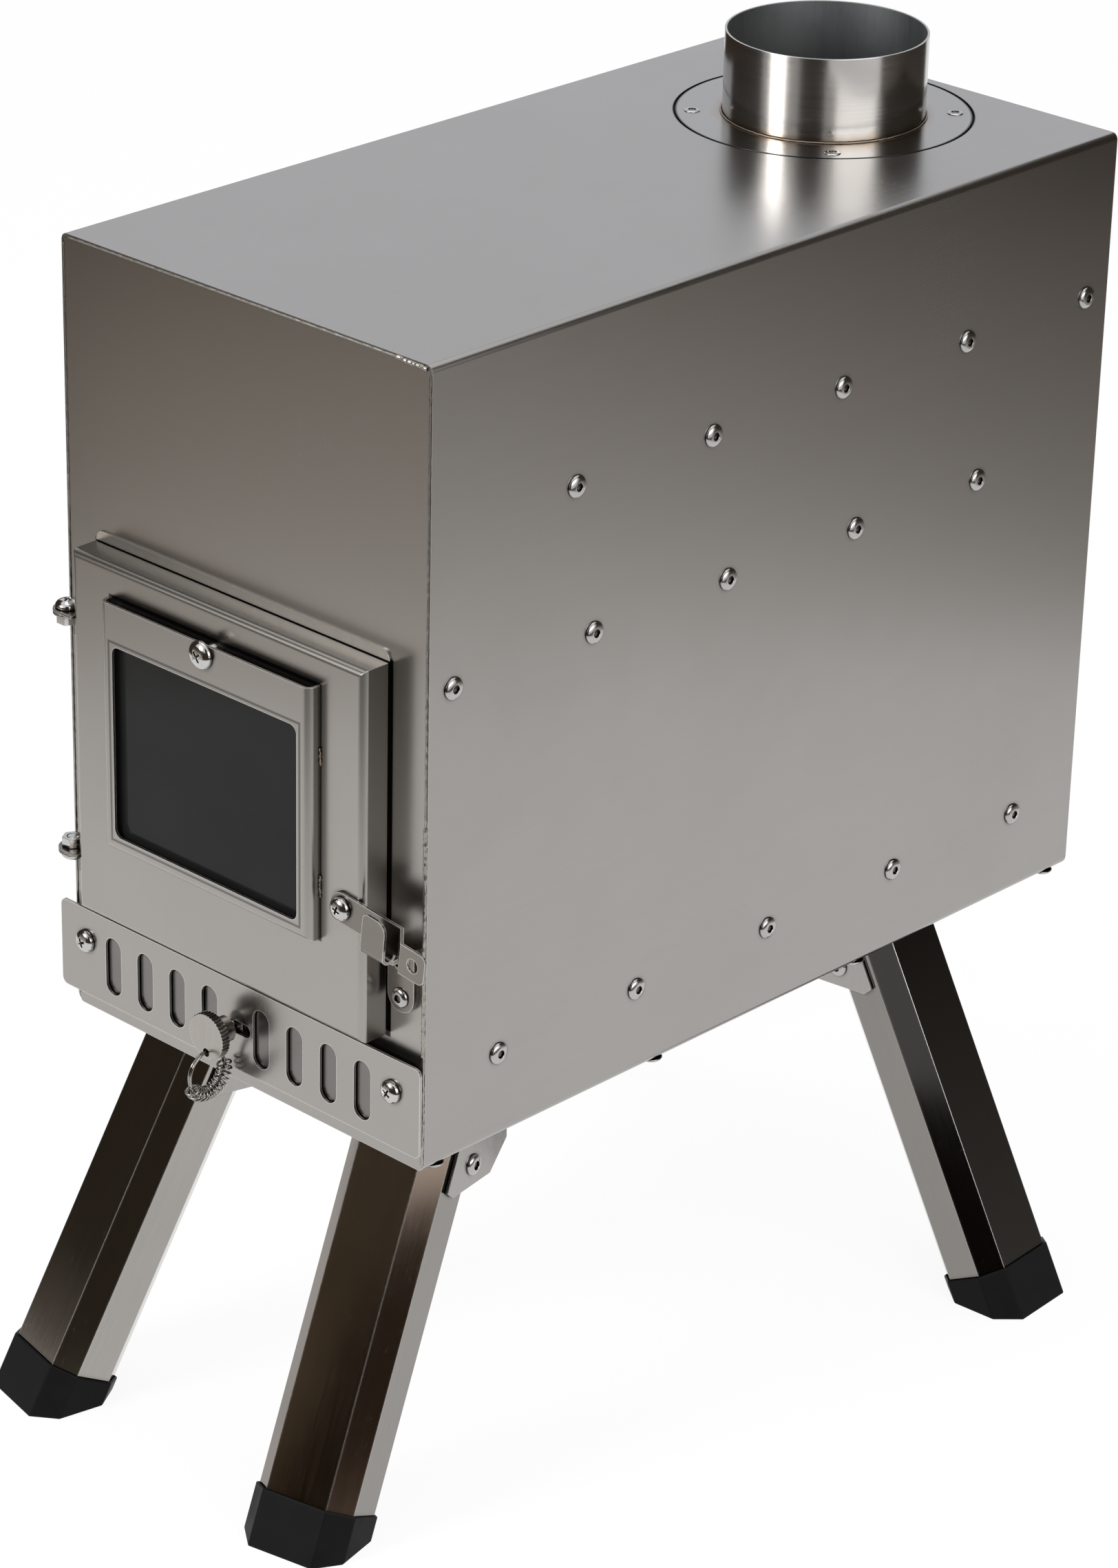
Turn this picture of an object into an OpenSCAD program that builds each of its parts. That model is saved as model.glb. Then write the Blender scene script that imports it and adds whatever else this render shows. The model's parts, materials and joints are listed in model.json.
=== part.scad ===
// Folding tent wood stove of sheet steel. Millimetres, +X right, front at -Y, +Z up.
// The origin lies on the floor, in the middle of the space that the standing stove takes up.

/* [Body] */
// Width of the box body beside the door, both sides together
beside_door = 38.5; // [38:0.5:50]
// Depth of the box body, front to back
body_d = 400; // [370:1:460]
// Height of the box body
body_h = 337; // [330:1:370]
// Thickness of the body sheet
sheet = 1.2; // [1:0.1:1.5]
// Height of the underside of the body above the floor
stand_h = 162; // [140:1:190]
// Outer bend radius along the top edges
top_bend = 3; // [2:0.5:5]
// Outer bend radius along the bottom edges
bottom_bend = 4.5; // [3:0.5:6]
// Width of the inward flanges along the bottom of the sides
bottom_flange_w = 10; // [9:0.5:11]
// Width of the inward flanges round the back
rear_flange_w = 12; // [10:0.5:14]

/* [Inside] */
// Distance of the lower baffle's rivet row below the cook top
lower_baffle_drop = 132.2; // [120:0.1:135]
// Distance of the upper baffle's rivet row below the cook top
upper_baffle_drop = 68.3; // [55:0.1:80]
// Smoke gap left at the end of each baffle
baffle_gap = 68; // [50:1:90]
// Height of the side flanges of the baffles and rails
inner_flange_h = 16; // [13:1:18]
// Height of the grate rails' rivet row above the underside of the body
rail_z = 38.6; // [34:1:44]
// Thickness of the fire grate
grate_t = 3; // [2:0.5:4]

/* [Rivets] */
// Shank radius of the blind rivets
rivet_r = 2.4; // [2:0.1:2.6]
// Head radius of the blind rivets
rivet_head_r = 4.7; // [4:0.1:5.2]
// Height of the domed rivet heads
rivet_head_h = 1.8; // [1.2:0.1:2.4]
// Radius of the hollow in the rivet heads
rivet_hollow_r = 1.7; // [1.2:0.1:2]

/* [Flue] */
// Outer diameter of the flue collar
flue_d = 85; // [80:1:90]
// Wall thickness of the flue collar
flue_wall = 1; // [0.8:0.1:1.5]
// Height of the flue collar above the cook top
flue_h = 35.5; // [28:0.5:50]
// Distance of the flue axis from the back of the body
flue_inset = 67.5; // [66:0.5:90]
// Diameter of the flange disc let into the cook top
flue_flange_d = 124; // [118:1:126]
// Radius of the flange's rivet circle
flange_rivet_r = 55; // [53:0.5:56]

/* [Door] */
// Width of the door pan
door_w = 166.5; // [150:0.5:168]
// Height of the door pan
door_h = 158.5; // [150:0.5:162]
// Height of the door's bottom edge above the underside of the body
door_z = 54.5; // [52:0.5:58]
// Distance of the door's front face from the front panel
door_proud = 14.4; // [13:0.1:18]
// Outer bend radius of the door pan's edges
door_bend = 3; // [2:0.5:4]
// Distance by which the door overlaps the fire opening on each side
door_overlap = 10; // [7:0.5:14]

/* [Window] */
// Width of the window opening in its frame
window_w = 105.6; // [90:0.5:108]
// Height of the window opening in its frame
window_h = 83.2; // [70:0.5:84]
// Width of the frame's side margins and bottom margin
window_margin = 7; // [6:0.5:8]
// Height of the frame's top margin, which carries the screw
window_top_margin = 17.6; // [16:0.5:19]
// Distance by which the frame stands out from the door
window_proud = 6; // [5.6:0.1:7]
// Thickness of the glass
glass_t = 2.4; // [2:0.1:4]
// Shank radius of the window screw
window_screw_r = 3; // [2.5:0.5:3]

/* [Hinge and latch] */
// Distance of the hinge axis from the door's left edge
hinge_out = 8.9; // [8.5:0.1:9.2]
// Shank radius of the hinge, latch and vent screws
screw_r = 2.5; // [2:0.25:2.5]
// Width of the latch strap
latch_w = 13; // [12:0.5:14]
// Slope of the resting latch strap, in degrees
latch_slope = 6; // [3:1:9]
// Length of the latch strap's flat part, from the pivot to the joggle
latch_len = 32.6; // [31:0.2:34]
// Distance by which the strap's end steps forward
latch_step = 8; // [6:0.5:9]
// Length of the strap's end plate
latch_end_len = 13; // [12:0.5:15]

/* [Air control] */
// Distance by which the vent plate overhangs the body on each side
vent_overhang = 3; // [0:0.5:5]
// Height of the vent plate
vent_h = 39.5; // [38:0.5:41]
// Distance of the vent plate's front from the front panel
vent_proud = 5.8; // [5.4:0.1:7]
// Spacing of the air slots
slot_pitch = 19.4; // [18.5:0.1:20]
// Width of the air slots
slot_w = 9.4; // [8:0.1:9.5]
// Height of the air slots
slot_h = 26; // [22:0.5:27]
// Travel of the air slider
slider_travel = 7.5; // [6:0.1:8]
// Radius of the knob's disc
knob_r = 10; // [9:0.5:11]
// Thickness of the knob's disc
knob_t = 4; // [3.5:0.1:4.5]
// Radius of the handle ring's centre line
ring_r = 9.5; // [9:0.1:10]
// Radius of the handle ring's wire
ring_wire_r = 1; // [0.9:0.05:1]
// Wire radius of the coil spring on the ring
spring_wire_r = 0.45; // [0.4:0.01:0.46]
// Number of curls of the coil spring
spring_turns = 14; // [10:1:14]

/* [Legs] */
// Width of the leg tube along its pivot
leg_w = 46; // [42:0.5:48]
// Depth of the leg tube
leg_d = 33.4; // [30:0.2:34]
// Width of the bevels on the leg tube's corners, measured along its sides
leg_bevel = 8.4; // [6:0.2:10]
// Wall thickness of the leg tube
leg_wall = 1.5; // [1:0.1:2]
// Splay of the standing legs from upright, in degrees
leg_tilt = 27; // [22:1:30]
// Toe-out of the front legs, in degrees
front_toe = 12; // [8:1:12]
// Toe of the rear legs, in degrees
rear_toe = 4; // [0:1:5]
// Distance of the leg pivots below the underside of the body
pivot_drop = 20.2; // [19.5:0.1:24]
// Radius of the leg pivot rivets
pivot_r = 3; // [2.5:0.1:3.5]
// Wall thickness of the plastic feet around the tube
foot_wall = 1.3; // [1:0.1:1.5]

/* [Hidden] */

// Overrun of cuts past the faces that they open
cut = 1;
// Clearances: a running fit, a gap between parts that slide or pass, and an open seam
run_gap = 0.05;
pass_gap = 0.3;
seam_gap = 0.2;
$fn = 48;

// A quarter of a turn
quarter = 90;

// Body: half sizes and the inner faces of the sheets
body_w = door_w + beside_door;
half_w = body_w / 2;
half_d = body_d / 2;
inner_w = half_w - sheet;
top_inside = body_h - sheet;
front_inside = -half_d + sheet;
back_inside = half_d - sheet;
back_panel_front = back_inside - sheet;

// Inside: baffles, rails and grate
baffle_len = body_d - baffle_gap - sheet;
lower_baffle_front = front_inside + seam_gap;
lower_baffle_z = body_h - lower_baffle_drop;
upper_baffle_back = back_panel_front - seam_gap;
upper_baffle_z = body_h - upper_baffle_drop;
rail_end_gap = 27.5;
rail_len = body_d - 2 * rail_end_gap;
rail_shelf_w = 16;
grate_side_gap = 1.5;
grate_end_gap = 14;
grate_d = body_d - 2 * grate_end_gap;
grate_top = rail_z + inner_flange_h / 2 + grate_t;
grate_columns = 7;
grate_rows = 8;
grate_bar_share = 0.3;
grate_slot_w = 9;
grate_slot_share = 0.76;

// Rivet places: rows along the body's depth and height, and their distances from the ends of what they hold
row_rivets = 5;
baffle_rivet_edge = 11.4;
rail_rivet_edge = 13.3;
back_rivet_low = 26.4;
back_rivet_high = 54.6;
back_rivet_inset = 5.5;
bottom_row_rivets = 4;
bottom_rivet_inset = 5.4;
bottom_rivet_end = 10;
function row(from, to, count) = [for (i = [0:count - 1]) from + (to - from) * i / (count - 1)];
baffle_row = row(baffle_rivet_edge, baffle_len - baffle_rivet_edge, row_rivets);
rail_row_y = row(rail_rivet_edge - rail_len / 2, rail_len / 2 - rail_rivet_edge, row_rivets);
back_row_z = row(back_rivet_low, body_h - back_rivet_high, row_rivets);
bottom_row_y = row(bottom_rivet_end - half_d, half_d - bottom_rivet_end, bottom_row_rivets);
side_rivet_places = concat([for (y = baffle_row) [lower_baffle_front + y, lower_baffle_z]],
    [for (y = baffle_row) [upper_baffle_back - y, upper_baffle_z]], [for (y = rail_row_y) [y, rail_z]]);

// Blind rivets: spread tails inside, and how far down the hollow in a head goes
rivet_tail_h = 2.2;
rivet_tail_r = 3.2;
rivet_floor_share = 0.3;

// Flue
flue_r = flue_d / 2;
flue_y = half_d - flue_inset;
flange_gap = 1;
flue_ring_in = 50;
flue_ring_out = 74;
flange_shank_r = 1.7;
flange_head_r = 3.4;
flange_head_h = 0.6;
flange_hollow_r = 0.9;

// Door
door_x = -1.25;
door_front = -half_d - door_proud;
door_back_gap = 1.3;
door_left = door_x - door_w / 2;
door_right = door_x + door_w / 2;
door_top = door_z + door_h;
fire_opening_r = 8;
rim_proud = 0.8;
rim_above_door = 2.6;
rim_corner = 4;

// Window: outline of the frame and its opening, measured in the door's front face
window_shift = 0.15;
window_up = 44.8;
window_x = door_x - window_shift;
window_z = door_z + window_up;
frame_half = window_w / 2 + window_margin;
frame_bottom = window_z - window_margin;
frame_top = window_z + window_h + window_top_margin;
frame_bend = 3.5;
window_corner = 3.5;
glass_side = 3;
glass_front = door_front - run_gap - glass_t;
glass_top_cover = 6.1;
frame_front = door_front - window_proud;
window_cut_in = 2.5;
window_screw_drop = 4.5;
window_screw_z = frame_top - window_screw_drop;
window_head_r = 6;
window_head_h = 3.4;
window_nut_r = 5.3;
nut_h = 4;

// Screws, hinge and ears
head_r = 5;
head_h = 3.4;
crown_share = 0.55;
rim_share = 0.3;
recess_w = 1.1;
recess_d = 1.7;
nut_r = 4.6;
ear_t = 1.25;
ear_r = 6;
ear_tab_h = 14;
hinge_x = door_left - hinge_out;
hinge_proud = 9;
hinge_y = -half_d - hinge_proud;
upper_hinge_down = 31.7;
lower_hinge_up = 20.9;
upper_hinge_z = door_top - upper_hinge_down;
lower_hinge_z = door_z + lower_hinge_up;
hinge_nut_h = 4.1;
hinge_stack = 2 * ear_t + 3 * run_gap;
hinge_screw_l = hinge_stack + hinge_nut_h + 3 * run_gap;

// Latch: pivot place on the door, and the strap's tab
latch_pivot_in = 10.1;
latch_x = door_right - latch_pivot_in;
latch_up = 56.5;
latch_z = door_z + latch_up;
latch_t = 1.2;
latch_back = door_front - pass_gap;
latch_hole_r = 2.9;
tab_w = 12.4;
tab_start = 17.2;
tab_h = 15;
tab_out = 6;
tab_r = 5;
end_corner_r = 3;
latch_total = latch_len + latch_step + latch_end_len;

// Keeper: strip beside the door, with a tongue behind the strap
keeper_w = 14.4;
keeper_t = 3;
keeper_out = 9.6;
keeper_h = 28.9;
keeper_down = 13.5;
keeper_x = door_right + keeper_out;
keeper_top = latch_z - keeper_down;
keeper_z = keeper_top - keeper_h;
keeper_tongue_t = 2;
keeper_rivet_down = 22.5;
keeper_stud_down = 7;
keeper_rivet_places = [keeper_top - keeper_rivet_down, keeper_top - keeper_stud_down];
keeper_rivet_head_r = 4.2;

// Air control
vent_z = 9.3;
vent_corner = 3;
vent_w = body_w + 2 * vent_overhang;
vent_front = -half_d - vent_proud;
vent_back = vent_front + sheet;
slot_up = 18.6;
slot_z = vent_z + slot_up;
vent_screw_in = 15.5;
vent_screw_up = 24.8;
vent_screw_x = vent_w / 2 - vent_screw_in;
vent_screw_z = vent_z + vent_screw_up;
spacer_r = 3.5;
slider_t = 1.2;
slider_gap = 0.5;
slider_front = vent_back + slider_gap;
slider_up = 2.2;
slider_z = vent_z + slider_up;
slider_h = 34;
slider_end = 3.5;
first_slot = 15.2;
slots_each_side = 4;
slot_places = [for (s = [-1, 1], i = [0:slots_each_side - 1]) s * (first_slot + i * slot_pitch)];
slider_slot_narrower = 3;
slider_slot_w = slot_w - slider_slot_narrower;
slider_cover = 1.3;
slider_offset = (slot_w + slider_slot_w) / 2 + slider_cover;
knob_x = -1.3;
knob_up = 19.1;
knob_z = vent_z + knob_up;
knob_reach = 14.7;
knob_front = vent_front - knob_reach;
knob_hub_r = 5.5;
knob_hub_h = 2.5;
stud_r = 2.5;
stud_flange_r = 4;
stud_flange_t = 1.1;
ring_hole_drop = 7;
ring_hole_r = 1.8;
knurl_count = 40;
knurl_d = 0.5;
ring_rise = 0.3;
ring_shift = 1.5;
ring_y = knob_front + knob_t / 2 - ring_shift;
ring_z = knob_z - ring_hole_drop + ring_rise - ring_r;

// Coil spring: its curls lie round the lower part of the ring
spring_r = 2.9;
spring_from = 210;
spring_sweep = 155;
spring_sides = 6;
spring_steps = 8;
spring_bend_r = 0.9;
spring_seat_gap = 0.05;

// Legs: pivot places in the body's plan, and the sizes of brackets and feet
front_pivot_side = 41.2;
front_pivot_in = 39.7;
rear_pivot_side = 32;
rear_right_in = 91.8;
rear_left_in = 39.8;
front_pivot_x = half_w - front_pivot_side;
rear_pivot_x = half_w - rear_pivot_side;
pivot_in = 8.5;
pivot_run = pivot_r + run_gap;
bracket_t = 1.5;
bracket_gap = 0.3;
tongue_reach = 20.5;
pivot_head_r = 4.6;
pivot_head_h = 2;
pivot_hollow_r = 1.9;
pivot_h = stand_h - pivot_drop;
leg_outer_y = pivot_in + leg_d / 2;
leg_inner_y = pivot_in - leg_d / 2;
stop_gap = 0.1;
bracket_top = pivot_drop + sheet;
stop_z = bracket_top - bracket_t - stop_gap;
leg_top = (stop_z - leg_outer_y * sin(leg_tilt)) / cos(leg_tilt);
inner_floor = (pivot_h + leg_inner_y * sin(leg_tilt)) / cos(leg_tilt);
foot_sole = 2.5;
leg_end = inner_floor - foot_wall - foot_sole;
foot_grip = 3;
foot_plug = 12;
foot_length = leg_d;
ear_reach = 29.4;
ear_below = 5.5;
ear_shares = [[0.16, 0], [0.62, -1], [0.49, -1.13], [-0.45, -1.17], [-0.87, -0.76], [-0.87, 0]];

// Each leg: its pivot in the body's plan and the turn from +Y to its outward side
front_right = [front_pivot_x, front_pivot_in - half_d, 2 * quarter + front_toe];
front_left = [-front_pivot_x, front_pivot_in - half_d, 2 * quarter - front_toe];
rear_right = [rear_pivot_x, half_d - rear_right_in, rear_toe - quarter];
rear_left = [-rear_pivot_x, half_d - rear_left_in, rear_toe + quarter];
legs = [front_right, front_left, rear_right, rear_left];

// The body's place on the floor, which centres the standing stove on the origin
foot_run = pivot_in * cos(leg_tilt)
    + (pivot_h + pivot_in * sin(leg_tilt)) * tan(leg_tilt);
foot_half_d = (leg_d / 2 + foot_wall) / cos(leg_tilt);
foot_half_w = leg_w / 2 - leg_bevel + foot_wall * (1 - tan(22.5));
front_reach = -front_right[1] + (foot_run + foot_half_d) * cos(front_toe) + foot_half_w * sin(front_toe);
back_reach = half_d + rivet_head_h;
body_y = (front_reach - back_reach) / 2;

// Placing: the body's own plan frame, the extrusions of front and side outlines
module on_body() {
    translate([0, body_y, stand_h]) children();
}
module front_extrude(y, t) {
    translate([0, y + t, 0]) rotate([90, 0, 0]) linear_extrude(t) children();
}
module side_extrude(x, t) {
    translate([x, 0, 0]) rotate([90, 0, 90]) linear_extrude(t) children();
}
module box(low, high) {
    translate(low) cube(high - low);
}

// Points of a quarter-round corner, turning from one angle to another
function corner(centre, r, from, to) =
    [for (i = [0:6]) centre + r * [cos(from + (to - from) * i / 6), sin(from + (to - from) * i / 6)]];

// Rectangle with two lower and two upper corner radii
module rounded_rect(x0, x1, y0, y1, r_low, r_high) {
    polygon(concat(corner([x1 - r_low, y0 + r_low], r_low, -90, 0),
        corner([x1 - r_high, y1 - r_high], r_high, 0, 90),
        corner([x0 + r_high, y1 - r_high], r_high, 90, 180),
        corner([x0 + r_low, y0 + r_low], r_low, 180, 270)));
}

// Slot outlines with round ends, upright or lying
module slot(x, y, w, h) {
    r = min(w, h) / 2;
    translate([x, y]) {
        square([w > h ? w - h : w, w > h ? h : h - w], center = true);
        for (s = [-1, 1])
            translate([w > h ? s * (w - h) / 2 : 0, w > h ? 0 : s * (h - w) / 2]) circle(r);
    }
}

// Holes across the body: along X at side places, along Y and Z at points
module side_holes(side) {
    for (p = side_rivet_places)
        translate([side * half_w, p[0], p[1]]) rotate([0, 90, 0])
            cylinder(r = rivet_r, h = 4 * sheet + 2 * cut, center = true);
}
module y_hole(x, z, r, y0, y1) {
    translate([x, y1, z]) rotate([90, 0, 0]) cylinder(r = r, h = y1 - y0);
}

// Outline of a domed rivet head with a hollow, from its rim to its axis
function dome(r, h, hollow) = concat([for (a = [0:15:90]) [hollow + (r - hollow) * cos(a), h * sin(a)]],
    [[hollow, h * rivet_floor_share], [0, h * rivet_floor_share]]);

// Domed blind rivet along Z: head above zero, shank and spread tail below
module rivet(r, head_r, head_h, hollow_r, grip, tail_r) {
    tail = [[0, -grip - rivet_tail_h], [tail_r, -grip - rivet_tail_h / 2], [tail_r, -grip], [r, -grip],
        [r, 0]];
    rotate_extrude() polygon(concat(tail, dome(head_r, head_h, hollow_r)));
}

// Pan-head screw along Z: head above zero with a cross recess, shank below
module pan_screw(r, head_r, head_h, length) {
    crown = [for (a = [0:15:90]) [head_r * (crown_share + (1 - crown_share) * cos(a)),
        head_h * (rim_share + (1 - rim_share) * sin(a))]];
    difference() {
        union() {
            rotate_extrude() polygon(concat([[0, 0], [head_r, 0]], crown, [[0, head_h]]));
            translate([0, 0, -length]) cylinder(r = r, h = length + head_h / 2);
        }
        for (a = [0, quarter])
            rotate([0, 0, a]) translate([-head_r * crown_share, -recess_w / 2, head_h - recess_d])
                cube([2 * head_r * crown_share, recess_w, recess_d + cut]);
    }
}

// Hexagon nut along Z, from zero up
module nut(r, bore, h) {
    difference() {
        cylinder(r = r, h = h, $fn = 6);
        translate([0, 0, -cut]) cylinder(r = bore, h = h + 2 * cut);
    }
}

// Body
module shell_profile() {
    difference() {
        rounded_rect(-half_w, half_w, 0, body_h, bottom_bend, top_bend);
        rounded_rect(-inner_w, inner_w, sheet, top_inside, bottom_bend - sheet, top_bend - sheet);
        translate([-half_w + bottom_flange_w, -cut])
            square([body_w - 2 * bottom_flange_w, sheet + 2 * cut]);
    }
}
module outer_shell() {
    color("dimgray") on_body() difference() {
        union() {
            front_extrude(-half_d, body_d) shell_profile();
            for (s = [-1, 1])
                box([s > 0 ? inner_w - rear_flange_w : -inner_w, back_inside, bottom_bend],
                    [s > 0 ? inner_w : -inner_w + rear_flange_w, half_d, top_inside]);
            box([-inner_w, back_inside, top_inside - rear_flange_w], [inner_w, half_d, top_inside]);
        }
        box([-inner_w, -half_d - cut, -cut], [inner_w, front_inside + seam_gap, bottom_bend]);
        for (s = [-1, 1]) {
            side_holes(s);
            for (z = back_row_z)
                y_hole(s * (half_w - back_rivet_inset), z, rivet_r, back_inside - cut, half_d + cut);
            for (y = bottom_row_y)
                translate([s * (half_w - bottom_rivet_inset), y, -cut])
                    cylinder(r = rivet_r, h = sheet + 2 * cut);
        }
        translate([0, flue_y, top_inside - cut])
            cylinder(r = flue_flange_d / 2 + flange_gap, h = sheet + 2 * cut, $fn = 96);
    }
}
// Front panel, with a raised rim round the fire opening that shows above the door
module front_panel() {
    color("gray") on_body() difference() {
        union() {
            front_extrude(-half_d, sheet)
                rounded_rect(-inner_w + seam_gap, inner_w - seam_gap, 0, top_inside - seam_gap,
                    top_bend - sheet, top_bend - sheet);
            front_extrude(-half_d - rim_proud, rim_proud + sheet)
                rounded_rect(door_left, door_right, door_z, door_top + rim_above_door,
                    rim_corner, rim_corner);
        }
        front_extrude(-half_d - rim_proud - cut, rim_proud + sheet + 2 * cut) {
            rounded_rect(door_left + door_overlap, door_right - door_overlap, door_z + door_overlap,
                door_top - door_overlap, fire_opening_r, fire_opening_r);
            air_slots();
        }
        for (s = [-1, 1])
            y_hole(s * vent_screw_x, vent_screw_z, screw_r, -half_d - cut, front_inside + cut);
        for (z = keeper_rivet_places)
            y_hole(keeper_x, z, rivet_r, -half_d - cut, front_inside + cut);
    }
}
module back_panel() {
    color("gray") on_body() difference() {
        box([-inner_w + seam_gap, back_panel_front, 2 * sheet + seam_gap],
            [inner_w - seam_gap, back_inside, top_inside - seam_gap]);
        for (s = [-1, 1], z = back_row_z)
            y_hole(s * (half_w - back_rivet_inset), z, rivet_r, back_panel_front - cut, back_inside + cut);
    }
}
module bottom_panel() {
    edge = inner_w - bottom_bend + sheet;
    color("gray") on_body() difference() {
        box([-edge, front_inside + seam_gap, sheet], [edge, back_inside, 2 * sheet]);
        for (s = [-1, 1], y = bottom_row_y)
            translate([s * (half_w - bottom_rivet_inset), y, 0]) cylinder(r = rivet_r, h = 2 * sheet + cut);
    }
}

// Baffle: a sheet with side flanges turned down, riveted at z
module baffle(y0, y1, z) {
    top = z + inner_flange_h / 2;
    edge = inner_w;
    difference() {
        box([-edge, y0, z - inner_flange_h / 2], [edge, y1, top]);
        box([-edge + sheet, y0 - cut, z - inner_flange_h], [edge - sheet, y1 + cut, top - sheet]);
        for (s = [-1, 1])
            side_holes(s);
    }
}
module lower_baffle() {
    color("dimgray") on_body() baffle(lower_baffle_front, lower_baffle_front + baffle_len, lower_baffle_z);
}
module upper_baffle() {
    color("dimgray") on_body() baffle(upper_baffle_back - baffle_len, upper_baffle_back, upper_baffle_z);
}
module grate_rail(side) {
    low = rail_z - inner_flange_h / 2;
    high = rail_z + inner_flange_h / 2;
    color("dimgray") on_body() difference() {
        box([side > 0 ? inner_w - rail_shelf_w : -inner_w, -rail_len / 2, low],
            [side > 0 ? inner_w : -inner_w + rail_shelf_w, rail_len / 2, high]);
        box([side > 0 ? inner_w - rail_shelf_w - cut : -inner_w + sheet, -rail_len / 2 - cut, low - cut],
            [side > 0 ? inner_w - sheet : -inner_w + rail_shelf_w + cut, rail_len / 2 + cut, high - sheet]);
        side_holes(side);
    }
}
module fire_grate() {
    edge = inner_w - grate_side_gap;
    column_pitch = 2 * (edge - rail_shelf_w) / grate_columns;
    row_pitch = grate_d / (grate_rows + grate_bar_share);
    color("dimgray") on_body() translate([0, 0, grate_top - grate_t]) linear_extrude(grate_t) difference() {
        square([2 * edge, grate_d], center = true);
        for (i = [0:grate_columns - 1], j = [0:grate_rows - 1])
            slot((i - (grate_columns - 1) / 2) * column_pitch, (j - (grate_rows - 1) / 2) * row_pitch,
                grate_slot_w, grate_slot_share * row_pitch);
    }
}

// Rivet sets of the body
module plain_rivet(grip) {
    rivet(rivet_r, rivet_head_r, rivet_head_h, rivet_hollow_r, grip, rivet_tail_r);
}
module side_rivets() {
    color("silver") on_body()
        for (s = [-1, 1], p = side_rivet_places)
            translate([s * half_w, p[0], p[1]]) rotate([0, s * 90, 0]) plain_rivet(2 * sheet);
}
module back_rivets() {
    color("silver") on_body()
        for (s = [-1, 1], z = back_row_z)
            translate([s * (half_w - back_rivet_inset), half_d, z]) rotate([-90, 0, 0])
                plain_rivet(2 * sheet);
}
module bottom_rivets() {
    color("silver") on_body()
        for (s = [-1, 1], y = bottom_row_y)
            translate([s * (half_w - bottom_rivet_inset), y, 0]) rotate([180, 0, 0])
                plain_rivet(2 * sheet);
}

// Flue: a disc let into the cook top, a ring below it and the pipe collar
module flange_rivet_places() {
    for (a = [45:90:315])
        rotate([0, 0, a]) translate([flange_rivet_r, 0, 0]) children();
}
module flue_disc(r_out, r_in) {
    difference() {
        cylinder(r = r_out, h = sheet, $fn = 96);
        translate([0, 0, -cut]) {
            cylinder(r = r_in, h = sheet + 2 * cut, $fn = 96);
            flange_rivet_places() cylinder(r = flange_shank_r, h = sheet + 2 * cut);
        }
    }
}
module flue_ring() {
    color("gray") on_body() intersection() {
        translate([0, flue_y, top_inside - sheet]) flue_disc(flue_ring_out, flue_ring_in);
        box([-half_w, flue_y - 2 * flue_ring_out, 0], [half_w, back_panel_front - seam_gap, body_h]);
    }
}
module flue_flange() {
    color("silver") on_body() translate([0, flue_y, top_inside])
        flue_disc(flue_flange_d / 2, flue_r - flue_wall);
}
module flue_collar() {
    color("silver") on_body() translate([0, flue_y, body_h]) difference() {
        cylinder(r = flue_r, h = flue_h, $fn = 96);
        translate([0, 0, -cut]) cylinder(r = flue_r - flue_wall, h = flue_h + 2 * cut, $fn = 96);
    }
}
module flange_rivets() {
    color("silver") on_body() translate([0, flue_y, body_h]) flange_rivet_places()
        rivet(flange_shank_r, flange_head_r, flange_head_h, flange_hollow_r, 2 * sheet, rivet_r);
}

// Hinge: each ear is a plate with a round end on the axis and a tab against its carrier
module body_ear(z) {
    color("silver") on_body() difference() {
        union() {
            translate([hinge_x, hinge_y, z]) cylinder(r = ear_r, h = ear_t);
            box([hinge_x - ear_r, hinge_y, z], [hinge_x + ear_r, -half_d, z + ear_t]);
            box([hinge_x - ear_r, -half_d - ear_t, z - ear_tab_h], [hinge_x + ear_r, -half_d, z + ear_t]);
        }
        translate([hinge_x, hinge_y, z - cut]) cylinder(r = screw_r, h = ear_t + 2 * cut);
    }
}
module door_ear(z) {
    z0 = z + ear_t + run_gap;
    color("silver") on_body() difference() {
        union() {
            translate([hinge_x, hinge_y, z0]) cylinder(r = ear_r, h = ear_t);
            box([hinge_x, hinge_y - ear_r, z0], [door_left, hinge_y + ear_r, z0 + ear_t]);
            box([door_left - ear_t, hinge_y - ear_r / 2, z0], [door_left, hinge_y + ear_r, z0 + ear_tab_h]);
        }
        translate([hinge_x, hinge_y, z0 - cut]) cylinder(r = screw_r + run_gap, h = ear_t + 2 * cut);
    }
}
module upper_body_ear() { body_ear(upper_hinge_z); }
module lower_body_ear() { body_ear(lower_hinge_z); }
module upper_door_ear() { door_ear(upper_hinge_z); }
module lower_door_ear() { door_ear(lower_hinge_z); }

// The upper hinge screw points down and the lower one up, and each ends past its nut
module hinge_screws() {
    color("silver") on_body() {
        translate([hinge_x, hinge_y, upper_hinge_z + hinge_stack])
            pan_screw(screw_r, head_r, head_h, hinge_screw_l);
        translate([hinge_x, hinge_y, lower_hinge_z]) rotate([180, 0, 0])
            pan_screw(screw_r, head_r, head_h, hinge_screw_l);
    }
}
module hinge_nuts() {
    color("silver") on_body() {
        translate([hinge_x, hinge_y, upper_hinge_z - hinge_nut_h]) nut(nut_r, screw_r, hinge_nut_h);
        translate([hinge_x, hinge_y, lower_hinge_z + hinge_stack]) nut(nut_r, screw_r, hinge_nut_h);
    }
}

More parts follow.
